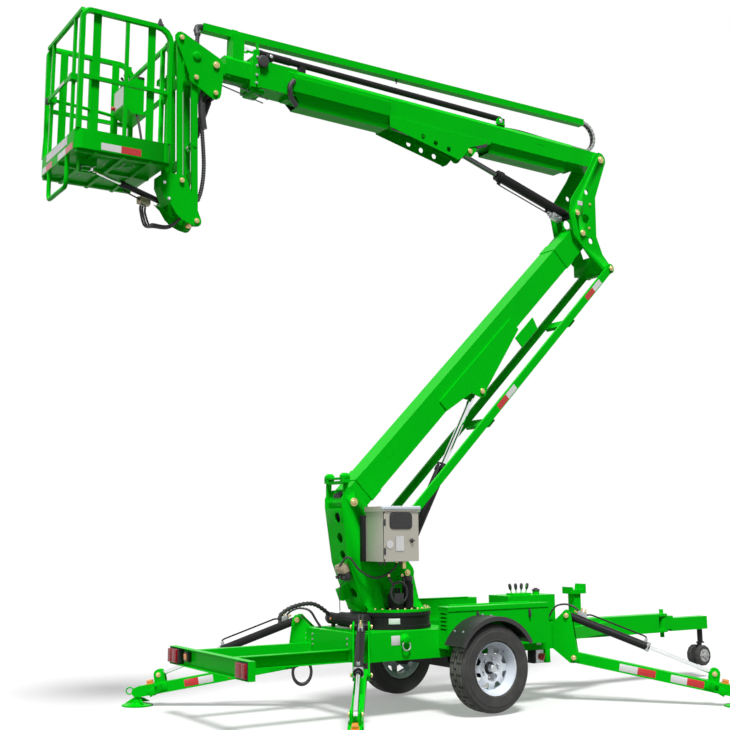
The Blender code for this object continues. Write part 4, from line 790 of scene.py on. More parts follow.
def tyre_section():
    """Half of the tyre's section as (across, radius), from the bead to the middle."""
    shoulder = TYRE_HALF - 0.03
    ribs = [0.012, 0.018, 0.046, 0.052]
    section = [
        (TYRE_HALF - 0.016, RIM_RADIUS + 0.001), (TYRE_HALF - 0.004, RIM_RADIUS + 0.014),
        (TYRE_HALF - 0.006, RIM_RADIUS + 0.018), (TYRE_HALF, 0.262), (TYRE_HALF, 0.284),
        (TYRE_HALF - 0.004, 0.289), (TYRE_HALF - 0.006, 0.312),
        (shoulder + 0.012, TYRE_RADIUS - 0.01), (shoulder, TYRE_RADIUS - 0.003),
    ]
    top, low = TYRE_RADIUS, TYRE_RADIUS - GROOVE
    section += [(ribs[3], top - 0.001), (ribs[3] - 0.0015, low), (ribs[2] + 0.0015, low)]
    section += [(ribs[2], top), (ribs[1], top), (ribs[1] - 0.0015, low), (ribs[0] + 0.0015, low)]
    section += [(ribs[0], top)]
    return section


def spun(section, steps):
    """A ring spun round the y axis from (across, radius) points."""
    mesh = bpy.data.meshes.new("ring")
    count = len(section)
    edges = [(i, (i + 1) % count) for i in range(count)]
    mesh.from_pydata([(0, across, radius) for across, radius in section], edges, [])
    made = linked(bpy.data.objects.new("ring", mesh))
    work_on(made)
    bpy.ops.mesh.select_all(action="SELECT")
    bpy.ops.mesh.spin(steps=steps, angle=2 * math.pi, center=(0, 0, 0), axis=(0, 1, 0))
    return outward(made)


def on_tread(face, middle):
    """Whether a face lies on the top of a rib."""
    offset = face.calc_center_median() - middle
    return math.hypot(offset.x, offset.z) > TYRE_RADIUS - 0.0045


def is_cut(face):
    """Whether a face of the tyre at the origin is one of those that are sunk into cuts."""
    centre = face.calc_center_median()
    if not on_tread(face, Vector()) or abs(centre.y) > TYRE_HALF - 0.028:
        return False
    turn = int(math.degrees(math.atan2(centre.x, centre.z)) % 360 / (360 / TREAD_STEPS))
    return (turn + (2 if abs(centre.y) > 0.03 else 0)) % 4 == 0


def treaded_tyre(middle):
    half = tyre_section()
    section = [(0.06, RIM_RADIUS + 0.001)] + half
    section += [(-across, radius) for across, radius in reversed(half)]
    made = spun(section + [(-0.06, RIM_RADIUS + 0.001)], TREAD_STEPS)
    work_on(made)
    pick("FACE", is_cut)
    bpy.ops.mesh.inset(thickness=0.0008, use_individual=True)
    bpy.ops.mesh.extrude_region_shrink_fatten(TRANSFORM_OT_shrink_fatten={"value": -CUT_DEPTH})
    at_rest()
    made.location = middle
    return made


for side_name, sign in SIDES:
    low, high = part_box("tyre_" + side_name)
    middle = (low + high) / 2
    tyre = treaded_tyre(middle)
    fit(tyre, "treaded_tyre_" + side_name, "wheel_" + side_name, "tyre_rubber", 25)
    tyre.data.materials.append(MATERIALS["tread_rubber"])
    work_on(tyre)
    pick("FACE", lambda face: on_tread(face, middle))
    tyre.active_material_index = 1
    bpy.ops.object.material_slot_assign()
    at_rest()
    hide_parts("tyre_" + side_name)
print("tyre triangles:", sum(len(face.vertices) - 2 for face in tyre.data.polygons))

# %% [markdown]
# The pressed steel wheel has a dished disc with eight windows that widen outwards, so
# that the steel between them makes eight spokes. The disc is turned from its section,
# and each window is cut as a wedge with rounded corners. Six nuts, a dark hub bore and
# a bright grease cap finish the middle.
# %% Wheels
RIM_SECTION = (  # across from the wheel's middle, radius
    (0.088, 0.2035), (0.084, 0.196), (0.072, 0.1925), (0.044, 0.176), (0.026, 0.172),
    (0.016, 0.166), (0.024, 0.15), (0.03, 0.128), (0.026, 0.104), (0.014, 0.09),
    (0.008, 0.062), (0.0, 0.046), (-0.004, 0.046), (0.001, 0.062), (0.008, 0.09),
    (0.02, 0.104), (0.024, 0.128), (0.018, 0.15), (0.008, 0.166), (-0.07, 0.162),
    (-0.088, 0.19), (-0.092, 0.2), (-0.092, 0.2035), (-0.082, 0.2035), (-0.06, 0.172),
    (0.036, 0.18), (0.07, 0.1965), (0.082, 0.2035),
)
WINDOWS = 8
NUTS = 6
NUT_CIRCLE = 0.074


def window_cutter(index):
    """A wedge through the disc, narrow towards the hub."""
    at_rest()
    bpy.ops.mesh.primitive_cube_add(size=1)
    made = bpy.context.object
    made.scale = (0.08, 0.12, 0.044)
    apply_place(made)
    work_on(made)
    pick("VERT", lambda vertex: vertex.co.z < 0)
    bpy.ops.transform.resize(value=(0.36, 1, 1), center_override=(0, 0, 0))
    at_rest()
    rounded(made, 0.006, 3)
    angle = math.radians(360 / WINDOWS * (index + 0.5))
    made.matrix_world = Matrix.Rotation(angle, 4, "Y") @ Matrix.Translation((0, 0, 0.136))
    return apply_place(made)


for side_name, sign in SIDES:
    low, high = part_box("rim_" + side_name)
    middle, body = (low + high) / 2, "wheel_" + side_name
    facing = Vector((0, sign, 0))
    rim = spun([(sign * across, radius) for across, radius in RIM_SECTION], 64)
    rim = cut_openings(rim, [window_cutter(index) for index in range(WINDOWS)])
    rim.location = middle
    stands_for(rim, "spoked_wheel_" + side_name, body, "rim_" + side_name, "white_paint", 35)
    nut = turned(mm(11, 0, 11, 14, 8.5, 17, 8.5, 21, 4, 26), 6)
    frames = []
    for index in range(NUTS):
        angle = 2 * math.pi * (index + 0.25) / NUTS
        x, z = NUT_CIRCLE * math.cos(angle), NUT_CIRCLE * math.sin(angle)
        frames.append(frame_to(middle + Vector((x, sign * 0.006, z)), facing))
    fit(repeated(nut, frames), "wheel_nuts_" + side_name, body, "galvanised")
    fit_turned(
        "wheel_hub_" + side_name, body, "black_paint", mm(45.5, 0, 45.5, 52, 40, 58, 33, 58),
        middle - facing * 0.044, facing, 28,
    )
    fit_turned(
        "grease_cap_" + side_name, body, "stainless", mm(31, 0, 31, 40, 29, 52, 24, 58, 14, 60),
        middle + facing * 0.006, facing, 28,
    )
    fit_turned(
        "valve_stem_" + side_name, body, "hose_rubber", mm(4.5, 0, 4.5, 20, 3, 22, 3, 30),
        middle + Vector((0.11, sign * 0.035, 0.125)), (-0.3, sign, -0.3), 10,
    )
print("wheels:", WINDOWS, "windows and", NUTS, "nuts each")

# %% [markdown]
# Bolts, pins and their caps show where a machine is held together. Each pin ends in a
# zinc-plated washer and bolt head on its plate's outer side. The pattern is turned
# once and copied to both ends of every pin; the list gives the pin, the body its plate
# belongs to, and how far out the plate's face lies.
# %% Pin ends
def box_far(node, sign):
    """The outermost y of a node on one side."""
    low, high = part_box(node)
    return high.y if sign > 0 else low.y


def pin_pattern(radius):
    profile = [(radius, 0), (radius, 0.004), (radius * 0.62, 0.004), (radius * 0.62, 0.01)]
    return turned(profile + [(radius * 0.5, 0.012)], 20, 0.0008)


def both_sides(x, reach, z):
    """Frames that face outwards on both sides of the machine's middle."""
    return [frame_to(Vector((x, AXLE.y + sign * reach, z)), (0, sign, 0)) for sign in (NEAR, FAR)]


LOWER_CYLINDER, UPPER_CYLINDER = pin("lower_cylinder_tilt"), pin("upper_cylinder_tilt")
LINK_LOW, LINK_TOP = pin("parallel_links_tilt"), ELBOW_PIN + pin("parallel_links_tilt") - LOWER_PIN
HEAD, ARM_TOP, LINK_HEAD = pin("boom_head_level"), pin("jib_lift"), pin("jib_link_tilt")
ARM_FOOT = pin("basket_bracket_level")
LINK_FOOT = LINK_HEAD + ARM_FOOT - ARM_TOP
JIB_BASE = pin("jib_cylinder_tilt")
LOWER_EYE = on_lower(1.655, -0.26)
UPPER_EYE = on_upper(1.6, -0.235)
PIN_ENDS = (  # piece, body, place, reach, radius
    ("boom_pin_caps", "turret", LOWER_PIN, 0.1525, 0.034),
    ("lower_cylinder_caps", "turret", LOWER_CYLINDER, 0.1525, 0.026),
    ("link_low_caps", "turret", LINK_LOW, 0.1925, 0.026),
    ("elbow_pin_caps", "elbow", ELBOW_PIN, 0.1545, 0.03),
    ("elbow_top_caps", "elbow", TOP_PIN, 0.1545, 0.036),
    ("elbow_link_caps", "elbow", LINK_TOP, 0.1925, 0.026),
    ("upper_cylinder_caps", "elbow", UPPER_CYLINDER, 0.1545, 0.026),
    ("lower_eye_caps", "lower_boom", LOWER_EYE, 0.1245, 0.024),
    ("upper_eye_caps", "upper_boom", UPPER_EYE, 0.1245, 0.024),
    ("head_pin_caps", "boom_head", HEAD, 0.121, 0.028),
    ("arm_top_caps", "boom_head", ARM_TOP, 0.121, 0.02),
    ("link_head_caps", "boom_head", LINK_HEAD, 0.121, 0.02),
    ("jib_base_caps", "boom_head", JIB_BASE, 0.121, 0.02),
    ("arm_foot_caps", "basket_bracket", ARM_FOOT, 0.121, 0.02),
    ("link_foot_caps", "basket_bracket", LINK_FOOT, 0.121, 0.02),
)
for name, body, place, reach, radius in PIN_ENDS:
    frames = both_sides(place.x, reach, place.z)
    fit(repeated(pin_pattern(radius), frames), name, body, "yellow_zinc")
print("pin ends:", 2 * len(PIN_ENDS))

# %% [markdown]
# The slewing ring is held to the turret's foot by a full circle of bolts, zinc yellow
# against the green flange. A plate on the ring's side would carry its number, and here
# it is left blank. The slewing drive gets two end caps and an amber plug.
# %% Flange bolts and slewing drive
SLEW = pin("turret_slew")
FLANGE_TOP = 0.8
RING_BOLTS = 32
BOLT_CIRCLE = 0.308
PLATE_ANGLE = math.radians(-118)


def hex_bolt(flange, head, height, tip, edge=0.0004, washer=0.002, sides=6):
    """A bolt head on a washer: radii of both and of its domed tip, and its height."""
    low, high = height
    return turned([(flange, 0), (flange, washer), (head, washer), (head, low), (tip, high)],
                  sides, edge)


def level_way(angle):
    return Vector((math.cos(angle), math.sin(angle), 0))


frames = []
for index in range(RING_BOLTS):
    way = level_way(2 * math.pi * index / RING_BOLTS)
    place = Vector((SLEW.x, SLEW.y, FLANGE_TOP)) + way * BOLT_CIRCLE
    frames.append(frame_to(place, Z, way))
bolt = hex_bolt(0.0125, 0.0095, (0.011, 0.0125), 0.008, 0.0006, 0.003)
fit(repeated(bolt, frames), "flange_bolts", "turret", "yellow_zinc")
ring_plate = block((-0.045, -0.0015, -0.022), (0.045, 0.0015, 0.022), 0.001)
out = level_way(PLATE_ANGLE)
ring_plate.matrix_world = frame_to(SLEW + out * 0.3235, Z, (-out.y, out.x, 0))
ring_plate.location.z = 0.712
fit(ring_plate, "ring_plate", "chassis", "label_white")
DRIVE_CAPS = (  # name, finish, profile, place, way that it faces, sides, edge
    ("worm_end_cap", "black_paint",
     mm(60, 0, 60, 12, 48, 18, 48, 30, 20, 34, 20, 48),
     (-0.85, -0.17, 0.712), -Y, 28, 0.001),
    ("motor_end_cap", "black_plastic",
     mm(47, 0, 47, 30, 38, 36, 38, 52, 30, 56),
     (-0.85, 0.33, 0.712), Y, 28, 0.001),
    ("motor_plug", "lamp_amber", mm(11, 0, 11, 4, 6, 6),
     (-0.8955, 0.275, 0.712), -X, 16, 0.0005),
)
for name, finish, profile, place, way, sides, edge in DRIVE_CAPS:
    fit_turned(name, "chassis", finish, profile, at(*place), way, sides, edge)
print("flange bolts:", RING_BOLTS)

# %% [markdown]
# The side of the chassis carries small fittings: a hinged tie-down ring with its lug,
# a blank plate beside it, the red battery switch on its grey panel, lever knobs on the
# oil tank, catches on the housings and brackets under the mudguards.
# %% Chassis fittings
ring_low = at(-0.637, -0.42, 0.562)
fit_turned(
    "tie_down_lug", "chassis", "green_paint", mm(46, 0, 46, 8, 30, 14, 30, 30, 20, 34),
    ring_low + Z * 0.02, -Y, 28,
)
at_rest()
bpy.ops.mesh.primitive_torus_add(
    major_radius=0.036, minor_radius=0.0055, major_segments=40, minor_segments=12,
    location=ring_low + Vector((0, -0.026, -0.022)), rotation=(math.radians(82), 0, 0),
)
ring = apply_place(bpy.context.object)
work_on(ring)
pick("VERT", lambda vertex: vertex.co.z > ring_low.z)
bpy.ops.transform.resize(value=(0.86, 1, 1), center_override=ring_low)
at_rest()
fit(ring, "tie_down_ring", "chassis", "galvanised", 60)
fit_blocks("chassis", (
    ("side_plate_blank", "label_white",
     (-0.762, -0.4215, 0.545), (-0.682, -0.4202, 0.617), 0.0005),
    ("switch_panel", "galvanised", (0.69, -0.424, 0.322), (0.772, -0.404, 0.428), 0.003),
    ("switch_box", "black_paint", (0.672, -0.404, 0.318), (0.79, -0.33, 0.4298), 0.004),
    ("switch_bracket", "green_paint", (0.796, -0.42, 0.318), (0.85, -0.34, 0.4298), 0.003),
))
knob = joined([
    turned(mm(30, 0, 30, 8, 24, 10, 24, 24, 20, 30), 12),
    block((-0.028, -0.009, 0.022), (0.028, 0.009, 0.042), 0.004),
])
set_at(knob, at(0.738, -0.424, 0.372), -Y, (0.4, 0, 1))
fit(knob, "battery_switch", "chassis", "switch_red")
fit_blocks("chassis", (
    ("switch_plate_blank", "label_white", (0.7, -0.4215, 0.47), (0.752, -0.4202, 0.52), 0.0005),
))
print("chassis fittings made:", len(PIECES))

# %% Levers, catches and mudguards
LEVERS = 4
GUARD_RADIUS, GUARD_HEIGHT = 0.402, 0.352
grip = turned(mm(8, 0, 8, 8, 13, 14, 14, 40, 11, 52, 5, 56), 16)
frames = []
for index in range(LEVERS):
    x, tilt = 0.585 + 0.05 * index, 0.01 * (index - 1.5)
    frames.append(frame_to(at(x + tilt * 0.8, -0.255, 0.913), (tilt / 0.062, 0, 1)))
fit(repeated(grip, frames), "lever_grips", "chassis", "black_plastic")
fit_turned(
    "filler_cap", "chassis", "black_plastic", mm(34, 0, 34, 12, 30, 16, 18, 18, 16, 26),
    at(0.9, -0.2, 0.895),
)
for side_name, sign in SIDES:
    catch = joined([
        block((-0.011, -0.012, -0.03), (0.011, 0.0, 0.03), 0.003),
        block((-0.007, -0.02, -0.036), (0.007, -0.008, 0.01), 0.003),
    ])
    face = box_far("housing_" + side_name, sign) + sign * 0.0006
    frames = [frame_to((AXLE.x + x, face, 0.748), Z, (-sign, 0, 0)) for x in (-0.02, 0.52)]
    fit(repeated(catch, frames), "housing_catches_" + side_name, "chassis", "black_plastic")
    arms = []
    for angle in (40, 140):
        x = AXLE.x + GUARD_RADIUS * math.cos(math.radians(angle))
        z = GUARD_HEIGHT + GUARD_RADIUS * math.sin(math.radians(angle))
        near, far = sorted((AXLE.y + sign * 0.552, AXLE.y + sign * 0.73))
        arms.append(block((x - 0.016, near, z - 0.052), (x + 0.016, far, z - 0.046), 0.002))
    fit(arms, "fender_brackets_" + side_name, "chassis", "green_paint")
    frames = []
    for angle in (46, 90, 134):
        way = Vector((math.cos(math.radians(angle)), 0, math.sin(math.radians(angle))))
        for offset in (0.59, 0.7):
            place = Vector((AXLE.x, AXLE.y + sign * offset, GUARD_HEIGHT)) + way * 0.4
            frames.append(frame_to(place, way))
    bolt = hex_bolt(0.011, 0.0085, (0.008, 0.009), 0.006)
    fit(repeated(bolt, frames), "fender_bolts_" + side_name, "chassis", "galvanised")
print("pieces made:", len(PIECES))

# %% [markdown]
# The rear light bar carries a lamp cluster at each end, with ribbed red lenses in black
# trays, and an amber reflector beside the left one. A lens is a block with level ribs
# standing on its face, because lamp plastic catches the light on such ribs.
# %% Rear lamps
BAR_LOW, BAR_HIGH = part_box("rear_light_bar")
BAR_X = BAR_LOW.x
LAMP_END, LAMP_LENGTH = 0.684, 0.165
LIGHT_BAR_X = -1.0672


def lens(low, high, finish_name, name, ribs=6):
    """A lens that faces the rear, with level ribs over its face."""
    parts = [block(low, high, 0.004)]
    pitch = (high[2] - low[2] - 0.012) / ribs
    for index in range(ribs):
        z = low[2] + 0.006 + pitch * (index + 0.5)
        parts.append(block((low[0] - 0.0015, low[1] + 0.005, z - pitch * 0.28),
                           (low[0] + 0.004, high[1] - 0.005, z + pitch * 0.28), 0.001, 1))
    return fit(parts, name, "chassis", finish_name)


z0, z1 = BAR_HIGH.z - 0.118, BAR_HIGH.z - 0.016
for side_name, sign in SIDES:
    end = AXLE.y + sign * LAMP_END
    inner = end - sign * LAMP_LENGTH
    y0, y1 = sorted((end, inner))
    tray = block((BAR_X - 0.006, y0, z0 - 0.004), (BAR_X + 0.047, y1, z1 + 0.004), 0.004)
    fit(tray, "lamp_tray_" + side_name, "chassis", "black_plastic")
    middle = (y0 + y1) / 2 + sign * 0.012
    for name, depth, edges in (
        ("stop_lamp_", 0.024, (middle + sign * 0.003, end - sign * 0.004)),
        ("tail_lamp_", 0.022, (middle - sign * 0.003, inner + sign * 0.004)),
    ):
        y0, y1 = sorted(edges)
        lens((BAR_X - depth, y0, z0), (BAR_X - 0.004, y1, z1), "lamp_red", name + side_name)
y, z = AXLE.y + 0.415, BAR_HIGH.z - 0.063
tray = block((BAR_X + 0.014, y - 0.034, z - 0.037), (BAR_X + 0.0495, y + 0.034, z + 0.037), 0.004)
fit(tray, "reflector_tray", "chassis", "black_plastic")
lens((BAR_X + 0.006, y - 0.022, z - 0.025), (BAR_X + 0.018, y + 0.022, z + 0.025),
     "lamp_amber", "rear_reflector", 4)
screw = turned(mm(10, 0, 10, 2, 8, 2, 8, 8), 6, 0.0004)
frames = [
    frame_to(at(LIGHT_BAR_X, sign * 0.324 + dy, z), -X)
    for sign in (NEAR, FAR) for z in (0.6, 0.56, 0.52) for dy in (-0.055, 0.055)
]
fit(repeated(screw, frames), "light_bar_bolts", "chassis", "galvanised")
print("rear lamps done:", len(PIECES))
# %% [markdown]
# The electrical box on the turret is folded sheet steel. Its rain hood has a rounded
# front lip, its door has a dark window on a raised rubber frame, two hinges and a lock,
# and three cable glands below. The lock and window ride on the door. A plate and a
# round sticker on the door are left blank.
# %% Ground control box
DOOR_FACE = box_far("control_box_door", NEAR)
DOOR_OUT = DOOR_FACE - AXLE.y  # across from the machine's middle
DOOR_HINGE = pin("control_box_door_hinge")
box_low, box_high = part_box("control_box")
hood = block((box_low.x - 0.004, box_low.y - 0.006, box_high.z - 0.03),
             (box_high.x + 0.004, box_low.y + 0.03, box_high.z + 0.003), 0.009, 3)
fit(hood, "hood_lip", "turret", "white_paint")


def soft_corners(low, high, radius):
    """The outline of a rectangle with rounded corners, as (x, z) places."""
    (x0, z0), (x1, z1) = [(x + r, z + r) for (x, z), r in ((low, radius), (high, -radius))]
    outline = []
    for index, (x, z) in enumerate(((x1, z1), (x0, z1), (x0, z0), (x1, z0))):
        for step in range(5):
            angle = math.radians(90 * index + 22.5 * step)
            outline.append((x + radius * math.cos(angle), z + radius * math.sin(angle)))
    return outline


outline = soft_corners((AXLE.x - 0.797, 1.428), (AXLE.x - 0.585, 1.56), 0.034)
window = plate_of(outline, DOOR_FACE - 0.0016, DOOR_FACE + 0.0006, 0)
work_on(window)
pick("FACE", lambda face: face.normal.y < -0.9)
bpy.ops.mesh.inset(thickness=0.011, depth=0)
bpy.ops.mesh.inset(thickness=0.0015, depth=0.0012)
at_rest()
fit(window, "door_window", "control_box_door", "black_plastic")
fit_turned("door_sticker", "control_box_door", "label_white", mm(32, 0, 32, 0.8),
           at(-0.795, DOOR_OUT - 0.0001, 1.312), -Y, 32, 0)
plate = block(at(-0.74, DOOR_OUT - 0.0012, 1.262), at(-0.665, DOOR_OUT - 0.0001, 1.375), 0.0004, 1)
fit(plate, "door_plate_blank", "control_box_door", "label_white")
lock = joined([
    turned(mm(17, 0, 17, 4, 12, 6, 12, 12, 10, 14), 20),
    block((-0.018, -0.004, 0.012), (0.018, 0.004, 0.02), 0.002),
])
set_at(lock, at(-0.59, DOOR_OUT - 0.0002, 1.34), -Y)
fit(lock, "door_lock", "control_box_door", "black_plastic")
knuckle = turned(mm(10, 0, 10, 50, 7, 52), 16)
frames = [frame_to((DOOR_HINGE.x, DOOR_HINGE.y, z)) for z in (1.235, 1.455)]
fit(repeated(knuckle, frames), "door_hinges", "control_box_door", "black_plastic")
fit_blocks("turret", (
    ("box_bracket_plate", "black_paint", (-0.872, -0.196, 1.18), (-0.7, -0.142, 1.54), 0.004),
))
gland = turned(mm(15, 0, 15, 10, 11, 12, 11, 26, 8, 30), 12)
frames = [frame_to(at(x, y, 1.18), -Z) for x, y in ((-0.8, -0.33), (-0.74, -0.3), (-0.61, -0.33))]
fit(repeated(gland, frames), "box_glands", "turret", "black_plastic")
fit_blocks("turret", (
    ("gland_plate", "yellow_zinc", (-0.585, -0.33, 1.12), (-0.555, -0.3, 1.1798), 0.002),
))
print("door fittings face", round(DOOR_FACE, 4))

# %% [markdown]
# The hydraulics show behind the turret: a tan valve block with its black coils, a
# connector box and an arc of hose are bolted to the sloping rear plate. On the near
# side hoses loop round the pump, and a bundle comes up between the side plates, goes
# over the boom's pin and on along the boom. A hose is a curve through the places where
# it is clipped. The bundle is given the turret and the boom, but rides on neither and
# stays where it is made.
# %% Hydraulics on the turret
def on_foot(rise, off, y):
    """A place on the turret's sloping rear foot plate."""
    return at(-0.842, y, 0.86) + foot_up * rise + foot_out * off


def box_on(origin, across, up, out, size, edge=0.003):
    """A block centred on a place, with its own across, up and outward ways."""
    made = block([-side / 2 for side in size], [side / 2 for side in size], edge)
    ways = [Vector(way).normalized() for way in (across, up, out)]
    made.matrix_world = Matrix.Translation(Vector(origin)) @ Matrix(ways).transposed().to_4x4()
    return apply_place(made)


def foot_box(rise, off, y, size, edge=0.003):
    return box_on(on_foot(rise, off, y), Y, foot_up, foot_out, size, edge)


valve = [foot_box(0.298, 0.034, -0.06, (0.12, 0.066, 0.056))]
valve += [
    foot_box(0.3, 0.066, y, (0.02, 0.03, 0.01), 0.002)
    for y in (-0.105, -0.075, -0.045, -0.015)
]
fit(valve, "valve_block", "turret", "valve_tan")
COILS = (-0.112, -0.06, -0.008)
coil = turned(mm(23, 0, 23, 40, 10, 42, 10, 52, 13, 52, 13, 62), 20)
frames = [frame_to(on_foot(0.262, 0.038, y), -foot_up) for y in COILS]
fit(repeated(coil, frames), "valve_coils", "turret", "black_plastic")
plug = block((-0.014, -0.012, 0), (0.014, 0.012, 0.026), 0.003)
frames = [frame_to(on_foot(0.24, 0.058, y), foot_out, Y) for y in COILS]
fit(repeated(plug, frames), "coil_plugs", "turret", "black_plastic")
connector = foot_box(0.098, 0.052, 0.012, (0.07, 0.1, 0.094), 0.004)
fit(connector, "connector_box", "turret", "green_paint")
arc = [(-0.985, -0.15, 1.215), (-0.9, -0.186, 1.11), (-0.79, -0.214, 1.052),
       (-0.69, -0.238, 1.07), (-0.612, -0.262, 1.13), (-0.6, -0.262, 1.168)]
fit_hose("hose_arc", "turret", [on_foot(0.33, 0.064, -0.08)] + [at(*p) for p in arc], 0.0085)
drain = ((-0.925, 1.035), (-0.978, 0.99), (-0.986, 0.9), (-0.984, 0.79))
fit_hose("drain_line", "turret", [at(x, -0.02, z) for x, z in drain], 0.0035)
rear_middle = REAR_LOW + rear_up * 0.372 - rear_out * 0.005
rear_top = box_on(rear_middle, Y, rear_up, rear_out, (0.248, 0.118, 0.01), 0.002)
rear_top = cut_openings(rear_top, rear_cutters(TURRET_HOLES[2:]))
fit(rear_top, "rear_top_plate", "turret", "green_paint", 30)

# %% Pump, motor and the bundle to the boom
BUNDLE = 5
loops = [ring_of(0.082, 0.0105, (64, 12), at(-0.6, -0.294, 0.933), (0.1, -1, 0))]
for x, lean in ((-0.648, -0.02), (-0.56, 0.02)):
    places = [at(x, -0.294, 0.99), at(x + lean, -0.275, 1.03), at(x + lean, -0.245, 1.06)]
    loops.append(hose(places, 0.01))
fit(loops, "pump_hoses", "turret", "hose_rubber", 60)
nut = turned(mm(12, 0, 12, 16, 9.5, 16, 9.5, 26), 6, 0.0006)
unions = ((-0.668, -0.25, 1.052), (-0.54, -0.25, 1.052), (-0.6, -0.262, 1.166))
fit(repeated(nut, [frame_to(at(*p)) for p in unions]), "hose_unions", "turret", "yellow_zinc")
fit_blocks("turret", (
    ("pump_valve", "black_plastic", (-0.648, -0.304, 0.85), (-0.56, -0.2752, 0.93), 0.004),
))
fit_turned("motor_cap", "turret", "black_plastic",
           mm(44, 0, 44, 6, 40, 10, 40, 30, 34, 36, 18, 38), at(-0.48, -0.24, 1.0215), Z, 28)
bundle = []
for index in range(BUNDLE):
    y, lift, back = -0.046 + 0.023 * index, 0.006 * (index % 2), 0.01 * (index % 3)
    places = [
        at(-0.9, y, 1.35), at(-0.945 - back * 0.4, y, 1.48),
        at(-0.975 - back * 0.3, y, 1.58), at(-0.985 - back * 0.2, y, 1.68),
        on_lower(-0.01, 0.09 + lift, y), on_lower(0.05, 0.062 + lift, y),
        on_lower(0.13, 0.04 + lift, y),
    ]
    bundle.append(hose(places, 0.0088))
bend = ("turret", "lower_boom", at(-0.95, 0, 1.48), on_lower(0.02, 0.08))
fit(bundle, "boom_hoses", bend, "hose_rubber", 60)
print("turret hoses:", BUNDLE + len(loops) + 1)

# %% [markdown]
# Over the pin stands the cradle that the upper boom is laid in for the road: two
# chamfered blocks with a shallow dished plate between them. A zinc cap closes the top
# of the nose hinge, and the jockey wheels have grey hub caps with six spokes.
# %% Cradle and nose hinge
CRADLE_X = (-1.03, -0.965)
pads = []
for sign in (NEAR, FAR):
    pads.append(block(at(CRADLE_X[0] - 0.006, sign * 0.118 - 0.036, 1.818),
                      at(CRADLE_X[1] + 0.006, sign * 0.118 + 0.036, 1.878), 0.02, 1))
fit(pads, "cradle_pads", "turret", "green_paint", 30)
dish = block(at(-1.026, -0.09, 1.8152), at(-0.969, 0.09, 1.8322), 0.002)
moved(dish, lambda vertex: abs(vertex.co.y - AXLE.y) > 0.06, Z * 0.012)
fit(dish, "cradle_plate", "turret", "green_paint")

NOSE, JOCKEY = pin("nose_fold"), pin("jockey_spin")
JOCKEY_SPOKES = 6
hinge_cap = turned(mm(20, 0, 20, 6, 13, 6, 13, 14, 10, 16), 6, 0.0008)
frames = [frame_to((NOSE.x, NOSE.y, 0.6205))]
fit(repeated(hinge_cap, frames), "nose_hinge_caps", "chassis", "yellow_zinc")
spokes = []
for sign in (NEAR, FAR):
    hub, facing = JOCKEY + Y * sign * 0.0722, Y * sign
    cap = turned(mm(62, 0, 62, 3, 50, 4, 26, 4, 24, 12, 14, 14), 28)
    spokes.append(set_at(cap, hub, facing))
    for index in range(JOCKEY_SPOKES):
        angle = math.radians(360 / JOCKEY_SPOKES * index)
        arm = block((0.022, -0.007, 0.003), (0.06, 0.007, 0.009), 0.002, 1)
        spokes.append(set_at(arm, hub, facing, (math.cos(angle), 0, math.sin(angle))))
fit(spokes, "jockey_hub_caps", "jockey_wheels", "chain_grey")
print("pieces made:", len(PIECES))

# %% [markdown]
# Each outrigger gets the same fittings from two functions: caps on its pins, three
# reinforcement plates on each side of the cylinder's lug, red and white conspicuity
# tapes, a lamp, ribs on its foot pad and a ring at its tip, and the pipe and check
# valve of its cylinder. Only the tapes sit at different places on each leg.
# %% Outriggers
OUTRIGGERS = (  # name, corner x and y, way the leg points in degrees
    ("front_right", 0.96, -0.43, -47),
    ("front_left", 0.96, 0.43, 45),
    ("rear_right", -1.04, -0.43, -124),
    ("rear_left", -1.04, 0.43, 139),
)
LEG_FALL = math.asin(0.25 / 1.34)
LEG_HALF = 0.043


def leg_frame(x, y, degrees):
    """The corner's ways and a function for places on the leg."""
    corner = at(x, y, 0)
    out = Vector((math.cos(math.radians(degrees)), math.sin(math.radians(degrees)), 0))
    side = Vector((-out.y, out.x, 0))
    along = out * math.cos(LEG_FALL) - Z * math.sin(LEG_FALL)
    up = out * math.sin(LEG_FALL) + Z * math.cos(LEG_FALL)
    start = corner + out * 0.11 + Z * 0.36

    def on_leg(distance, over, across=0.0):
        return start + along * distance + up * over + side * across

    return corner, out, side, along, up, on_leg


def tape(on_leg, along, up, side, start, end, face_side, height=0.058):
    """A thin tape on one side face of a leg."""
    centre = on_leg((start + end) / 2, 0, face_side * (LEG_HALF + 0.0006))
    return box_on(centre, along, up, side * face_side, (end - start, height, 0.0011), 0.0003)


# leg: runs of tape (start, end, finish) and the side they are on, towards the onlooker
TAPES = {
    "front_right": (-1, ((0.378, 0.526, "tape_white"), (0.526, 0.673, "tape_red"),
                         (0.795, 0.925, "tape_white"), (0.925, 1.06, "tape_red"))),
    "front_left": (-1, ((0.36, 0.5, "tape_white"), (0.5, 0.64, "tape_red"))),
    "rear_right": (-1, ((0.33, 0.46, "tape_red"), (0.46, 0.6, "tape_white"))),
    "rear_left": (1, ((0.456, 0.542, "tape_red"), (0.671, 0.797, "tape_white"),
                      (0.797, 0.919, "tape_red"))),
}
CORNER_PIN, LUG_PIN = 0.0742, 0.04  # how far out a pin's ends lie
RIBS = 4


def leg_plates(frame_of_leg):
    """The reinforcement plates and the lug on both sides of a leg."""
    _, side, along, up, on_leg = frame_of_leg
    face = LEG_HALF + 0.0042
    plates = []
    for sign in (-1, 1):
        for place, ways, size, edge in (
            ((1.122, 0.01, sign * face), (along, up), (0.11, 0.066, 0.008), 0.003),
            ((1.165, -0.01, sign * face), (along - up * 0.35, up + along * 0.35),
             (0.14, 0.056, 0.008), 0.003),
            ((1.128, 0.072, sign * 0.035), (up, -along), (0.12, 0.066, 0.0085), 0.004),
        ):
            plates.append(box_on(on_leg(*place), *ways, side, size, edge))
    return plates


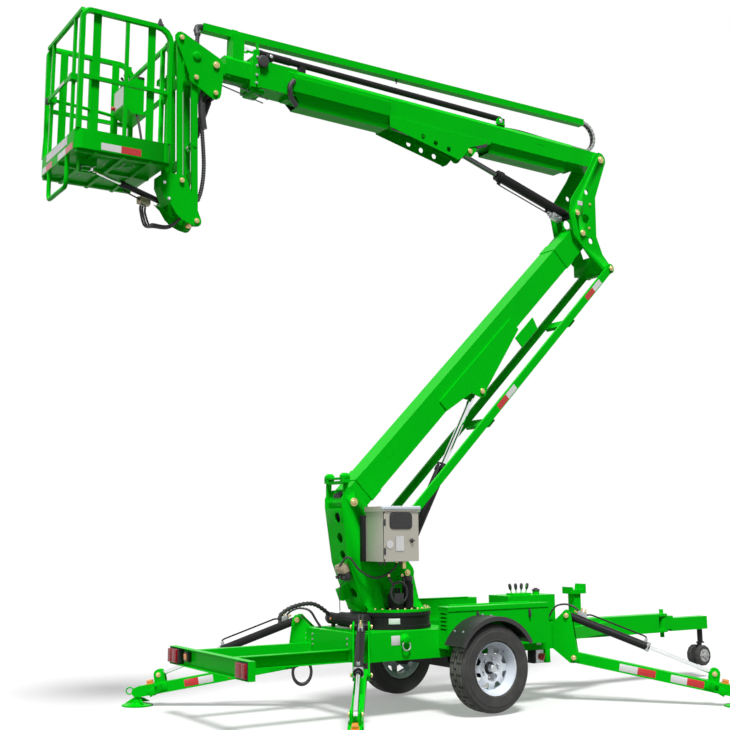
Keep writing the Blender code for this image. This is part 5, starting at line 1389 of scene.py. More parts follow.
def pad_rib(foot, way):
    """A rib of the foot pad, cut down towards its outer end."""
    rib = block((0.034, -0.004, 0.024), (0.112, 0.004, 0.062), 0.002, 1)
    moved(rib, lambda vertex: vertex.co.z > 0.05 and vertex.co.x > 0.08, (-0.05, 0, -0.006))
    return set_at(rib, (foot.x, foot.y, 0.0022), Z, way)


def leg_fittings(name, corner, base, frame_of_leg):
    """All that rides on a leg, and the caps of the corner's two pins."""
    out, side, along, up, on_leg = frame_of_leg
    leg, eye = "outrigger_" + name, on_leg(1.13, 0.105)

    def caps(piece, body, radius, places, reach):
        frames = [frame_to(p + side * s * reach, side * s) for p in places for s in (-1, 1)]
        fit(repeated(pin_pattern(radius), frames), piece + name, body, "yellow_zinc")

    caps("corner_caps_", "chassis", 0.021, (corner + out * 0.11 + Z * 0.36, base), CORNER_PIN)
    caps("lug_caps_", leg, 0.02, (eye,), LUG_PIN)
    fit(leg_plates(frame_of_leg), "lug_plates_" + name, leg, "green_paint")
    face_side, runs = TAPES[name]
    for finish in dict.fromkeys(run[2] for run in runs):
        strips = [
            tape(on_leg, along, up, side, start, end, face_side)
            for start, end, colour in runs if colour == finish
        ]
        fit(strips, finish + "_" + name, leg, finish)
    lamp = [
        box_on(on_leg(1.222, 0.048), along, side, up, (0.066, 0.054, 0.012), 0.003),
        box_on(on_leg(1.222, 0.066), along, side, up, (0.054, 0.044, 0.026), 0.009),
    ]
    fit(lamp, "leg_lamp_" + name, leg, "lamp_amber")
    ribs = []
    for index in range(RIBS):
        angle = math.radians(45 + 360 / RIBS * index)
        ribs.append(pad_rib(on_leg(1.34, 0), out * math.cos(angle) + side * math.sin(angle)))
    fit(ribs, "pad_ribs_" + name, leg, "green_paint")
    centre = on_leg(1.405, 0.02)
    loop = ring_of(0.026, 0.0055, (32, 10), centre, side, along)
    moved(loop, lambda vertex: (vertex.co - centre).dot(along) > 0, along * 0.008)
    fit(loop, "tip_ring_" + name, leg, "green_paint", 60)
    return eye


def outrigger_fittings(name, x, y, degrees):
    corner, *frame_of_leg = leg_frame(x, y, degrees)
    out, side = frame_of_leg[:2]
    barrel, base = "outrigger_cylinder_" + name + "_barrel", corner + out * 0.06 + Z * 0.705
    way = (leg_fittings(name, corner, base, frame_of_leg) - base).normalized()
    top = (out * -way.z + Z * way.dot(out)).normalized()
    if top.z < 0:
        top = -top

    def on_barrel(distance, over, across=0.0):
        return base + way * distance + top * over + side * across

    clips = ((0.15, 0.052), (0.185, 0.072), (0.24, 0.074), (0.44, 0.074), (0.64, 0.074),
             (0.668, 0.07), (0.674, 0.056), (0.674, 0.032))
    fit_hose("pipe_" + name, barrel, [on_barrel(*clip) for clip in clips], 0.007,
             finish="black_paint")
    valve = [
        box_on(on_barrel(distance, over), way, side, top, size, edge)
        for distance, over, size, edge in (
            (0.12, 0.052, (0.08, 0.036, 0.036), 0.003),
            (0.674, 0.044, (0.026, 0.024, 0.036), 0.003),
            (0.705, 0.0, (0.03, 0.074, 0.074), 0.01),
        )
    ]
    fit(valve, "check_valve_" + name, barrel, "galvanised")
    union = turned(mm(11, 0, 11, 12, 8, 12, 8, 30, 6, 32), 6, 0.0005)
    frames = [frame_to(on_barrel(distance, 0.07), top, way) for distance in (0.104, 0.138)]
    frames.append(frame_to(on_barrel(0.08, 0.052), -way, side))
    fit(repeated(union, frames), "valve_unions_" + name, barrel, "yellow_zinc")
    return corner, out, side, on_barrel


BARRELS = {row[0]: outrigger_fittings(*row) for row in OUTRIGGERS}
print("outriggers fitted:", list(BARRELS))

# %% [markdown]
# Two hoses leave each check valve, hang in a loop and go through the frame to the
# lever valve. On the machine the first part swings with the cylinder and the last is
# clamped to the frame; here each pair is given those two bodies, but rides on neither
# and stays where it is made.
# %% Outrigger hoses
for name, (corner, out, side, on_barrel) in BARRELS.items():
    inward = X if name.startswith("rear") else -X
    tubes = []
    for offset in (-0.012, 0.012):
        inner = corner + side * offset * 2
        tubes.append(hose(
            [on_barrel(0.08, 0.07, offset), on_barrel(0.03, 0.084, offset),
             on_barrel(-0.04, 0.078, offset), on_barrel(-0.11, 0.03, offset),
             corner - out * 0.09 + side * offset + Z * 0.69,
             inner - out * 0.13 + Z * 0.6 + inward * 0.02,
             inner - out * 0.15 + Z * 0.5 + inward * 0.05],
            0.0075, 0.012,
        ))
    bend = ("chassis", "outrigger_cylinder_" + name + "_barrel",
            corner - out * 0.12 + Z * 0.62, on_barrel(0.03, 0.098))
    fit(tubes, "hoses_" + name, bend, "hose_rubber", 60)
print("outrigger hoses:", 2 * len(BARRELS))

# %% [markdown]
# The rear left corner also shows a thick corrugated conduit that arches out of the
# frame and back into it, and a smaller loop that hangs below the beam. Another loop
# hangs from the front left corner, and three hoses lie along the deck.
# %% Conduits of the frame
conduit = ((-1.33, 0.69), (-1.323, 0.756), (-1.209, 0.815), (-1.044, 0.834), (-0.928, 0.783),
           (-0.85, 0.708), (-0.82, 0.611))
fit_hose("conduit_rear", "chassis", [at(x, 0.34, z) for x, z in conduit], 0.0185, 0.009, 0.22,
         "black_plastic", 30)
loop = ring_of(0.095, 0.015, (64, 14), at(-1.125, 0.34, 0.3), (-0.3, -1, 0), width=0.8)
fit(loop, "hose_loop_rear", "chassis", "hose_rubber", 60)
loop = ((1.022, 0.3, 0.52), (1.07, 0.29, 0.5), (1.12, 0.28, 0.43), (1.11, 0.276, 0.37),
        (1.06, 0.276, 0.35), (1.022, 0.282, 0.385), (1.012, 0.29, 0.44))
fit_hose("hose_loop_front", "chassis", [at(*place) for place in loop], 0.01)
DECK_HOSES = 3
deck_hoses = []
for index in range(DECK_HOSES):
    x, y = 0.6 + 0.1 * index, -0.3 + 0.02 * index
    deck_hoses.append(hose(
        [at(x, y + 0.06, 0.8), at(x - 0.02, y - 0.01, 0.78), at(x - 0.08, y - 0.04, 0.73),
         at(0.44, y - 0.03, 0.69), at(0.26, y + 0.02, 0.672), at(0.06, y + 0.06, 0.668),
         at(-0.12, y + 0.08, 0.662)],
        0.009,
    ))
fit(deck_hoses, "deck_hoses", "chassis", "hose_rubber", 60)
print("pieces so far:", len(PIECES))
# %% [markdown]
# The upper boom is a pressed octagon, and its outside carries most of the fittings:
# a long telescoping cylinder, rubber-edged trays folded from sheet under its near
# side, and two brackets with round openings for the lift cylinder's rod. A sheet
# tray is made as one profile drawn along the boom, so its facets stay straight.
# %% Hand moves for sheet and plate
def boom_places(place, points):
    """(along, over) pairs on a boom as (x, z) pairs."""
    return [(place(s, n).x, place(s, n).z) for s, n in points]


def drawn(place, section, start, end):
    """A bar drawn along a boom. Its section is (across, over) pairs."""
    corners = [place(start, over, across) for across, over in section]
    return sheet_drawn(corners, place(end, 0) - place(start, 0))


def strip(place, across, over, start, end):
    """A flat strip along a boom between two levels across it and two over it."""
    (near, far), (low, high) = across, over
    return drawn(place, [(near, low), (far, low), (far, high), (near, high)], start, end)


def tray_section(points, thick):
    """A folded sheet's section: the points, and back again inside them."""
    inside = [(y * (1 - thick / 0.118), n + thick) for y, n in points]
    return points + inside[::-1]


def beyond(origin, way, distance):
    """A test for corners that lie farther than a distance along a way."""
    return lambda vertex: (vertex.co - origin).dot(way) > distance


def mirrored_section(half):
    """A section from its near half, which ends at the lowest point."""
    return half + [(-across, over) for across, over in reversed(half)]


# %% Openings and trays of the upper boom
BRACKET = (
    (2.48, -0.092), (2.48, -0.15), (2.475, -0.19), (1.76, -0.335), (1.735, -0.345),
    (1.69, -0.32), (1.64, -0.262), (1.6, -0.2), (1.5, -0.16), (1.4, -0.12),
    (1.4, -0.092),
)
OPENINGS = ((2.122, -0.205), (1.984, -0.236), (1.838, -0.265))
FRONT_TRAY, REAR_TRAY = (2.48, 3.44), (0.42, 1.35)
for side_name, sign in (("near", NEAR), ("far", FAR)):
    faces = sorted((AXLE.y + sign * 0.1126, AXLE.y + sign * 0.1186))
    bracket = plate_of(boom_places(on_upper, BRACKET), *faces)
    cutters = [round_cutter(on_upper(s, n, sign * 0.115), Y, 0.024, 0.03) for s, n in OPENINGS]
    bracket = cut_openings(bracket, cutters)
    fit(bracket, "rod_bracket_" + side_name, "upper_boom", "green_paint", 30)

profile = mirrored_section(
    [(-0.113, 0.035), (-0.131, 0.026), (-0.117, -0.09), (-0.078, -0.158), (-0.07, -0.196)]
)
front_tray = drawn(on_upper, tray_section(profile, 0.004), *FRONT_TRAY)
front, low = beyond(TOP_PIN, UPPER_DIR, 3.4), beyond(TOP_PIN, -UPPER_UP, 0.1)
moved(front_tray, lambda vertex: front(vertex) and low(vertex), -UPPER_DIR * 0.07)
fit(front_tray, "front_tray", "upper_boom", "green_paint", 20)
profile = mirrored_section([(-0.115, -0.094), (-0.08, -0.152), (-0.074, -0.186)])
rear_tray = drawn(on_upper, tray_section(profile, 0.004), *REAR_TRAY)
fit(rear_tray, "rear_tray", "upper_boom", "green_paint", 20)
rubber = ((3.44, 0.0, -0.119), (3.475, -0.045, -0.12), (3.478, -0.095, -0.118),
          (3.44, -0.15, -0.088), (3.385, -0.194, -0.072))
fit_hose("tray_rubber", "upper_boom", [on_upper(*p) for p in rubber], 0.021, 0.012,
         finish="black_plastic")
wedges = [
    plate_of(boom_places(on_upper, outline), AXLE.y + near, AXLE.y + far, 0.003)
    for outline, near, far in (
        (((2.47, -0.15), (2.44, -0.205), (2.23, -0.226), (2.18, -0.15)), -0.113, -0.092),
        (((1.56, -0.11), (1.52, -0.19), (1.4, -0.15), (1.39, -0.1)), -0.118, -0.098),
    )
]
fit(wedges, "bracket_rubbers", "upper_boom", "black_plastic")
seams = [strip(on_upper, (-0.1128, -0.114), (-0.088, 0.066), s, s + 0.006) for s in (2.33, 0.995)]
fit(seams, "boom_seams", "upper_boom", "green_paint", 20)
plate = strip(on_upper, (-0.1135, -0.1121), (0.01, 0.05), 0.7, 0.8)
fit(plate, "boom_plate_blank", "upper_boom", "green_paint", 20)
print("upper boom trays: 2")

# %% [markdown]
# The telescoping cylinder's gland tube reaches on to the collar, where the rod comes
# out. Its other end is an eye on a green ear with a bright pin. Round black pads and
# bolt heads sit on the collar, whose front is a green fin. The trough has a lug on
# its top, a stub under it, and a black elbow where the hoses leave.
# %% Telescoping cylinder, collar and trough
TELESCOPE = (0.195, -0.037)  # over the boom's middle, and across
GLAND_TUBE = mm(31.5, 0, 31.5, 260, 34.5, 262, 34.5, 300, 17.5, 302, 17.5, 4)
fit_turned("telescope_gland", "upper_boom", "black_paint", GLAND_TUBE,
           on_upper(3.45, *TELESCOPE), UPPER_DIR, 32)
EAR = ((1.15, 0.121), (1.165, 0.165), (1.19, 0.19), (1.225, 0.192), (1.252, 0.17), (1.262, 0.121))
ear = plate_of(boom_places(on_upper, EAR), AXLE.y - 0.084, AXLE.y - 0.07, 0.003)
fit(ear, "telescope_ear", "upper_boom", "green_paint")
COLLAR_CAPS = (  # name, finish, profile, place on the boom, sides, edge
    ("telescope_pin_cap", "stainless",
     mm(20, 0, 20, 4, 13, 4, 13, 10, 10, 12),
     (1.208, 0.16, -0.0842), 20, 0.0008),
    ("gland_eye", "black_paint",
     mm(40, 0, 40, 12, 34, 16, 20, 18, 20, 26, 12, 30),
     (3.65, 0.166, -0.068), 28, 0.001),
    ("gland_eye_pin", "stainless", mm(15, 0, 15, 4, 9, 7),
     (3.65, 0.17, -0.098), 20, 0.0008),
    ("collar_pad", "black_plastic", mm(52, 0, 52, 12, 44, 20, 26, 22),
     (3.735, 0.096, -0.118), 32, 0.001),
)
for name, finish, profile, place, sides, edge in COLLAR_CAPS:
    fit_turned(name, "upper_boom", finish, profile, on_upper(*place), -Y, sides, edge)
fin = strip(on_upper, (-0.124, -0.118), (-0.146, 0.18), 3.79, 3.846)
moved(fin, beyond(TOP_PIN, UPPER_UP, 0.1), -UPPER_DIR * 0.02)
fit(rounded(fin, 0.002, 1), "collar_fin", "upper_boom", "green_paint")
ledge = mirrored_section([(-0.105, -0.14), (-0.09, -0.172)])
ledge = rounded(drawn(on_upper, ledge, 3.7, 3.812), 0.01, 3)
fit(ledge, "collar_ledge", "upper_boom", "green_paint")
near = [frame_to(on_upper(3.79, n, -0.1242), -Y) for n in (-0.105, -0.035, 0.045, 0.12)]
far = [frame_to(on_upper(3.79, n, 0.1182), Y) for n in (-0.1, 0.0, 0.1)]
bolt = hex_bolt(0.013, 0.01, (0.009, 0.01), 0.008, 0.0005)
fit(repeated(bolt, near + far), "collar_bolts", "upper_boom", "galvanised")

# %% Trough, rods and cable


def on_trough(s, over, across):
    """A place by height over the trough's sloping underside."""
    return on_upper(s, 0.395 - 0.0253 * (s - 0.07) + over, across)


LUG = ((0.02, 0.06), (0.052, 0.06), (0.044, 0.084), (0.028, 0.084))
lug = sheet_drawn([on_trough(3.93, over, across) - UPPER_DIR * 0.03 for across, over in LUG],
                  UPPER_DIR * 0.055)
fit(rounded(lug, 0.004, 2), "trough_lug", "inner_boom", "green_paint")
fit_turned(
    "trough_stub", "inner_boom", "black_plastic", mm(10, 0, 10, 18, 6, 20, 6, 34),
    on_trough(2.315, -0.0004, 0.036), -UPPER_UP, 16,
)
TROUGH_END = on_trough(4.2, 0, 0) - on_upper(4.2, 0)
elbow = ((4.215, 0.034, 0.034), (4.262, 0.02, 0.022), (4.28, -0.02, 0.004), (4.276, -0.07, -0.016))
elbow = [on_trough(4.15, 0.034, 0.036)] + [on_upper(*p) + TROUGH_END for p in elbow]
fit_hose("trough_elbow", "inner_boom", elbow, 0.026, 0.01, 0.1, "black_plastic", 30)
rods = [
    hose([on_upper(s, n, y) for s, n in ((4.09, -0.112), (3.86, -0.152), (3.64, -0.19))], 0.0055)
    for y in (-0.046, 0.046)
]
# The levelling rods take the chrome that is darkened as painted shade.
fit(rods, "levelling_rods", "inner_boom", "dark_chrome", 60)
cable = ((1.14, 0.128, -0.03), (0.9, 0.15, -0.01), (0.6, 0.15, 0.004),
         (0.3, 0.148, 0.01), (0.15, 0.138, 0.02))
fit_hose("sensor_cable", "upper_boom", [on_upper(*p) for p in cable], 0.0045)
print("collar and trough fittings made")

# %% [markdown]
# The energy chain is a row of links. Each link has two grey side plates and two black
# cross bars, so hoses show between them. One link is made and copied along the path:
# flat on the boom, round the end, and forward again into the trough.
# %% Energy chain
CHAIN_CENTRE = (0.065, 0.285)
CHAIN_RADIUS = 0.1475
CHAIN_HALF_HEIGHT = 0.0165
CHAIN_ENDS = (1.17, 0.35)
LINKS = 46


def chain_place(part):
    """Distance along the boom, height over it and heading, at a part of the path."""
    straight = CHAIN_ENDS[0] - CHAIN_CENTRE[0]
    bend = math.pi * CHAIN_RADIUS
    gone = part * (straight + bend + CHAIN_ENDS[1] - CHAIN_CENTRE[0])
    if gone < straight:
        return CHAIN_ENDS[0] - gone, CHAIN_CENTRE[1] - CHAIN_RADIUS, math.pi
    if gone < straight + bend:
        angle = -math.pi / 2 - (gone - straight) / CHAIN_RADIUS
        return (CHAIN_CENTRE[0] + CHAIN_RADIUS * math.cos(angle),
                CHAIN_CENTRE[1] + CHAIN_RADIUS * math.sin(angle), angle - math.pi / 2)
    return CHAIN_CENTRE[0] + gone - straight - bend, CHAIN_CENTRE[1] + CHAIN_RADIUS - 0.003, 0.0


pitch = (CHAIN_ENDS[0] + CHAIN_ENDS[1] - 2 * CHAIN_CENTRE[0] + math.pi * CHAIN_RADIUS) / LINKS


def along_link(half, low, high, edge=0.001, segments=1):
    """A block of a link, from its half length and its corners across and over it."""
    return block((-half, *low), (half, *high), edge, segments)


HALF = CHAIN_HALF_HEIGHT
side_link = joined([
    along_link(pitch * 0.47, (y, -HALF), (y + 0.006, HALF), 0.004, 2) for y in (-0.024, 0.018)
])
bar_link = joined(
    [along_link(pitch * 0.28, (-0.018, z), (0.018, z + 0.005)) for z in (-HALF, HALF - 0.005)]
    + [along_link(0.003, (-0.0165, -HALF), (0.0165, HALF))]
)
frames = []
for index in range(LINKS):
    s, n, heading = chain_place((index + 0.5) / LINKS)
    forward = UPPER_DIR * math.cos(heading) + UPPER_UP * math.sin(heading)
    frames.append(frame_to(on_upper(s, n, 0.036), forward.cross(Y), forward))
chain = fit(repeated(side_link, frames), "chain_side_plates", "energy_chain", "chain_grey")
fit(repeated(bar_link, frames), "chain_cross_bars", "energy_chain", "black_plastic")
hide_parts("energy_chain")
hoses_inside = []
for across in (0.026, 0.036, 0.046):
    line = [chain_place(i / 40) for i in range(41)]
    hoses_inside.append(hose([on_upper(s, n, across) for s, n, _ in line], 0.0042, 0.03))
fit(hoses_inside, "chain_hoses", "energy_chain", "hose_rubber", 60)
print("chain links:", LINKS)

# %% [markdown]
# Each big cylinder has a steel pipe along its barrel from the valve at its closed end
# to a black elbow at its gland, a valve block with unions, and a black gland ring.
# %% Pipes and valves of the lift cylinders
def cylinder_fittings(name, base, eye, body, radius, length, side_way):
    """Pipe, elbows, valve and gland ring on the side of a barrel that side_way gives."""
    way = (eye - base).normalized()
    out = (side_way - way * side_way.dot(way)).normalized()
    across = way.cross(out)

    def place(distance, off, over=0.0):
        return base + way * distance + out * off + across * over

    def side_box(distance, off, size, edge=0.004):
        return box_on(place(distance, off), way, across, out, size, edge)

    clips = ((0.18, 0.028), (0.26, 0.032), (length * 0.6, 0.032), (length - 0.07, 0.032),
             (length - 0.045, 0.022), (length - 0.043, -0.004))
    pipe = [place(distance, radius + off) for distance, off in clips]
    # The pipe takes the chrome that is darkened as painted shade.
    fit_hose(name + "_pipe", body, pipe, 0.0065, finish="dark_chrome")
    joint = [side_box(length - 0.046, radius + 0.012, (0.03, 0.03, 0.034)),
             side_box(0.25, radius + 0.012, (0.022, 0.04, 0.024), 0.003)]
    fit(joint, name + "_elbows", body, "black_paint")
    valve = [side_box(0.13, radius + 0.028, (0.12, 0.056, 0.056)),
             side_box(0.205, radius + 0.03, (0.04, 0.034, 0.034))]
    fit(valve, name + "_valve", body, "galvanised")
    knob = turned(mm(14, 0, 14, 10, 10, 10, 10, 20, 7, 22), 6, 0.0005)
    near_side = across if across.y < 0 else -across
    frames = [
        frame_to(place(distance, radius + 0.028) + near_side * 0.028, near_side, way)
        for distance in (0.1, 0.155)
    ]
    frames.append(frame_to(place(0.07, radius + 0.028), -way, out))
    fit(repeated(knob, frames), name + "_unions", body, "galvanised")
    collar = radius + 0.0065
    fit_turned(name + "_gland", body, "black_paint",
               [(collar, 0), (collar, 0.03), (radius + 0.003, 0.033), (radius + 0.001, 0.04)],
               place(length - 0.064, 0), way, 32)


cylinder_fittings("upper_cylinder", UPPER_CYLINDER, UPPER_EYE, "upper_cylinder_barrel",
                  0.048, 0.91, -Z)
cylinder_fittings("lower_cylinder", LOWER_CYLINDER, LOWER_EYE, "lower_cylinder_barrel",
                  0.05, 1.02, Vector((-1, -0.75, 0)))
print("cylinders fitted")

# %% Tapes and plates of the lower boom
LINK_LINE = -0.4526  # the links lie this far from the line of the lower boom's pins
LINK_TAPES = (
    ("tape_white", ((3.345, 3.475), (1.79, 1.93))),
    ("tape_red", ((3.206, 3.345), (1.645, 1.79))),
)
over = (LINK_LINE - 0.026, LINK_LINE + 0.026)
for finish, runs in LINK_TAPES:
    strips = [strip(on_lower, (-0.1816, -0.1803), over, start, end) for start, end in runs]
    fit(strips, "link_" + finish, "parallel_links", finish, 20)
guide = strip(on_lower, (-0.118, -0.106), (-0.18, -0.29), 2.3, 2.6)
low, front = beyond(LOWER_PIN, -LOWER_UP, 0.2), beyond(LOWER_PIN, LOWER_DIR, 2.5)
moved(guide, lambda vertex: low(vertex) and front(vertex), -LOWER_DIR * 0.03)
fit(guide, "guide_bracket", "lower_boom", "green_paint")
tag = strip(on_lower, (-0.1012, -0.1002), (-0.01, 0.03), 0.52, 0.6)
fit(tag, "lower_boom_blank", "lower_boom", "green_paint", 20)

# %% [markdown]
# The elbow's near side has a small blank plate, and each of its sides has three small
# bolts.
# %% Elbow details
plate = block(at(1.64, -0.1414, 4.516), at(1.702, -0.1402, 4.558), 0.0005, 1)
fit(plate, "elbow_blank", "elbow", "label_white")
frames = [
    frame_to(at(x, sign * 0.1402, z), Y * sign)
    for sign in (NEAR, FAR) for x, z in ((1.796, 4.542), (1.622, 4.454), (1.775, 4.3))
]
bolt = hex_bolt(0.014, 0.01, (0.01, 0.012), 0.008, 0.0006, 0.003)
fit(repeated(bolt, frames), "elbow_bolts", "elbow", "yellow_zinc")
print("pieces so far:", len(PIECES))
# %% [markdown]
# The platform's hoses come out of the trough in a corrugated conduit, pass between the
# head's plates, bulge past the jib and end at the basket's bracket. The conduit is made
# in two lengths, because it crosses two hinges; each is given the bodies on both sides
# of its hinge, but rides on neither and stays where it is made. A thick rubber sleeve
# covers the second length's upper part.
# %% Conduit of the jib
HEAD_BEND = (HEAD + Vector((-0.08, 0, 0.18)), HEAD + Vector((-0.08, 0, -0.06)))
JIB_BEND = (ARM_TOP + Vector((0.08, 0, 0.0)), ARM_TOP + Vector((0.06, 0, -0.28)))
CONDUIT_Y = -0.052
FIRST = ((-2.28, 5.16), (-2.272, 5.06), (-2.27, 4.96), (-2.272, 4.9), (-2.276, 4.88))
SECOND = ((-2.276, 4.882), (-2.286, 4.83), (-2.29, 4.75), (-2.283, 4.64), (-2.268, 4.5),
          (-2.252, 4.3), (-2.254, 4.16), (-2.272, 4.04), (-2.298, 3.96))
SLEEVE = ((-2.282, 4.772), (-2.278, 4.69), (-2.266, 4.6), (-2.258, 4.56))
places = [on_upper(4.276, 0.24, -0.016), at(-2.318, -0.03, 5.27)]
places += [at(x, CONDUIT_Y, z) for x, z in FIRST]
fit_hose("conduit_head", ("inner_boom", "boom_head", *HEAD_BEND), places, 0.0185, 0.0052, 0.16,
         "black_plastic", 30)
across_jib = ("boom_head", "jib_arm", *JIB_BEND)
fit_hose("conduit_jib", across_jib, [at(x, CONDUIT_Y, z) for x, z in SECOND], 0.0175, 0.0052,
         0.16, "black_plastic", 30)
fit_hose("conduit_sleeve", across_jib, [at(x, CONDUIT_Y, z) for x, z in SLEEVE], 0.029, 0.012,
         smooth=40)
disc = turned(mm(36, 0, 36, 10, 28, 14, 14, 16), 28)
frames = both_sides(HEAD.x - 0.165, 0.1088, HEAD.z + 0.04)
fit(repeated(disc, frames), "head_discs", "boom_head", "green_paint")
jib_way = (ARM_TOP + Vector((0.0141, 0, -0.5499)) - JIB_BASE).normalized()
clips = ((0.15, 0.024), (0.16, 0.036), (0.185, 0.038), (0.3, 0.038), (0.332, 0.036),
         (0.342, 0.024))
fit_hose("jib_cylinder_pipe", "jib_cylinder_barrel",
         [JIB_BASE + jib_way * distance + Y * off for distance, off in clips], 0.005,
         finish="black_paint")
for name, body, foot, radius, half in (
    ("foot_bush", "jib_arm", ARM_FOOT, 0.0255, 0.05),
    ("link_bush", "jib_link", LINK_FOOT, 0.025, 0.055),
):
    fit_turned(name, body, "bronze", [(radius, 0), (radius, 2 * half)],
               (foot.x, AXLE.y - half, foot.z), Y, 28, 0.002)
print("conduit passes beside the jib at y", CONDUIT_Y)

# %% [markdown]
# A boomerang-shaped plate is welded outside each cheek of the bracket under the
# basket, and bolted. The swing cylinder over it has a tan valve with three unions, a
# pipe, and three hoses that hang in loops.
# %% Basket bracket
BOOMERANG = (
    (-2.64, 4.082), (-2.58, 4.088), (-2.511, 4.063), (-2.458, 3.969), (-2.389, 3.87),
    (-2.3, 3.8), (-2.286, 3.782), (-2.294, 3.752), (-2.322, 3.737), (-2.383, 3.748),
    (-2.45, 3.774), (-2.501, 3.816), (-2.545, 3.883), (-2.6, 3.93), (-2.625, 3.985),
    (-2.65, 4.04),
)
BOOMERANG_TOP = {"near": 4.2, "far": 3.94}  # the swing cylinder passes over the far plate
for side_name, sign in (("near", NEAR), ("far", FAR)):
    faces = sorted((AXLE.y + sign * 0.1088, AXLE.y + sign * 0.1148))
    outline = [(AXLE.x + x, z) for x, z in BOOMERANG if z < BOOMERANG_TOP[side_name]]
    plate = plate_of(outline, *faces, 0.002)
    fit(plate, "boomerang_" + side_name, "basket_bracket", "green_paint", 30)
frames = [
    frame_to(at(x, sign * 0.115, z), Y * sign)
    for sign, x, z in ((NEAR, -2.6, 4.048), (NEAR, -2.56, 3.925), (FAR, -2.5, 3.86))
]
bolt = hex_bolt(0.013, 0.009, (0.01, 0.012), 0.007, 0.0006, 0.003, 20)
fit(repeated(bolt, frames), "bracket_bolts", "basket_bracket", "stainless")

# %% Swing cylinder
SWING_BASE, SWING_EYE = pin("swing_cylinder_tilt"), at(-3.147, -0.03, 4.077)
SWING_HOSES = ((0.215, 0.0), (0.25, 0.026), (0.28, 0.052))  # union's distance, sag
swing_way = (SWING_EYE - SWING_BASE).normalized()
swing_side = Z.cross(swing_way).normalized()


def on_swing(distance, over):
    return SWING_BASE + swing_way * distance + Z * over


valve = [
    box_on(on_swing(distance, over), swing_way, swing_side, -Z, size, edge)
    for distance, over, size, edge in (
        (0.245, -0.064, (0.11, 0.052, 0.06), 0.004),
        (0.18, -0.052, (0.034, 0.034, 0.036), 0.003),
    )
]
fit(valve, "swing_valve", "swing_cylinder_barrel", "valve_tan")
knob = turned(mm(11, 0, 11, 12, 8, 12, 8, 28, 6, 30), 6, 0.0005)
frames = [frame_to(on_swing(start, -0.094), -Z, swing_way) for start, _ in SWING_HOSES]
fit(repeated(knob, frames), "swing_unions", "swing_cylinder_barrel", "galvanised")
clips = ((0.3, -0.06), (0.34, -0.056), (0.44, -0.052), (0.5, -0.044), (0.512, -0.024))
fit_hose("swing_pipe", "swing_cylinder_barrel", [on_swing(*clip) for clip in clips], 0.006,
         finish="black_paint")
loops = []
for index, (start, sag) in enumerate(SWING_HOSES):
    shift = 0.012 * index
    loops.append(hose(
        [on_swing(start, -0.11), on_swing(start, -0.15),
         on_swing(start - 0.06, -0.235 - sag * 0.4),
         at(-2.56, 0.21 - shift, 3.8 - sag * 0.6),
         at(-2.47, 0.12 - shift, 3.776 - sag * 0.4), at(-2.4, 0.06 - shift, 3.83),
         at(-2.372, 0.03 - shift * 0.5, 3.9)],
        0.0085,
    ))
bend = ("swing_cylinder_barrel", "basket_bracket", on_swing(0.2, -0.15), at(-2.52, 0.16, 3.79))
fit(loops, "swing_hoses", bend, "hose_rubber", 60)
eye_block = block(
    SWING_EYE - Vector((0.104, 0.02, 0.02)), SWING_EYE + Vector((-0.082, 0.02, 0.02)), 0.006,
)
fit(eye_block, "swing_eye_block", "basket", "black_plastic")
print("swing cylinder fitted")

# %% [markdown]
# The basket's toe board is one sheet bent round its corners, so its square corners are
# cut off and a curved strip closes each. Flat bars stiffen the posts, ribs stiffen the
# floor with its groups of slanted slots, and the tapes and a blank sign go on the board.
# %% Toe board and floor
GATE_LOW, GATE_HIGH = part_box("gate_bar")
bx0, bx1 = AXLE.x - 3.34, AXLE.x - 2.6
by0, by1 = AXLE.y - 0.24, AXLE.y + 0.64
FLOOR_Z = (GATE_LOW.z + GATE_HIGH.z) / 2 - 0.6
TOE_Z = FLOOR_Z + 0.15
CORNER = 0.06
ROD_SIDES, ROD_LENGTH = 48, 0.3


def corner_piece(x, y, sx, sy, centre):
    """The square corner that is cut off: a block less a rod as round as the corner."""
    outer_x, outer_y = x - sx * 0.01, y - sy * 0.01
    low = Vector((min(outer_x, centre.x), min(outer_y, centre.y), FLOOR_Z - 0.004))
    high = Vector((max(outer_x, centre.x), max(outer_y, centre.y), TOE_Z + 0.003))
    at_rest()
    bpy.ops.mesh.primitive_cube_add(size=1, location=(low + high) / 2)
    made = bpy.context.object
    made.scale = high - low
    outward(apply_place(made))
    middle = (centre.x, centre.y, (low.z + high.z) / 2)
    return cut_openings(made, [round_cutter(middle, Z, CORNER, ROD_LENGTH, ROD_SIDES)])


def corner_strip(centre, sx, sy):
    """The curved strip that closes a corner: a quarter of a thin ring."""
    middle = centre + Z * (TOE_Z + FLOOR_Z) / 2
    made = round_cutter(middle, Z, CORNER + 0.0008, TOE_Z - FLOOR_Z, ROD_SIDES)
    made = cut_openings(made, [round_cutter(middle, Z, CORNER - 0.004, ROD_LENGTH, ROD_SIDES)])
    work_on(made)
    for way in (X * sx, Y * sy):
        bpy.ops.mesh.select_all(action="SELECT")
        bpy.ops.mesh.bisect(
            plane_co=centre + way * 0.0005, plane_no=way, use_fill=True, clear_outer=True
        )
    at_rest()
    return outward(made)


corner_cuts, strips = [], []
for x, sx in ((bx0, 1), (bx1, -1)):
    for y, sy in ((by0, 1), (by1, -1)):
        centre = Vector((x + sx * CORNER, y + sy * CORNER, 0))
        corner_cuts.append(corner_piece(x, y, sx, sy, centre))
        strips.append(corner_strip(centre, sx, sy))
basket = cut_openings(merged_copy("basket"), corner_cuts)
stands_for(basket, "basket_frame", "basket", "basket")
fit(strips, "toe_board_corners", "basket", "green_paint", 30)
print("basket corners rounded:", len(corner_cuts))

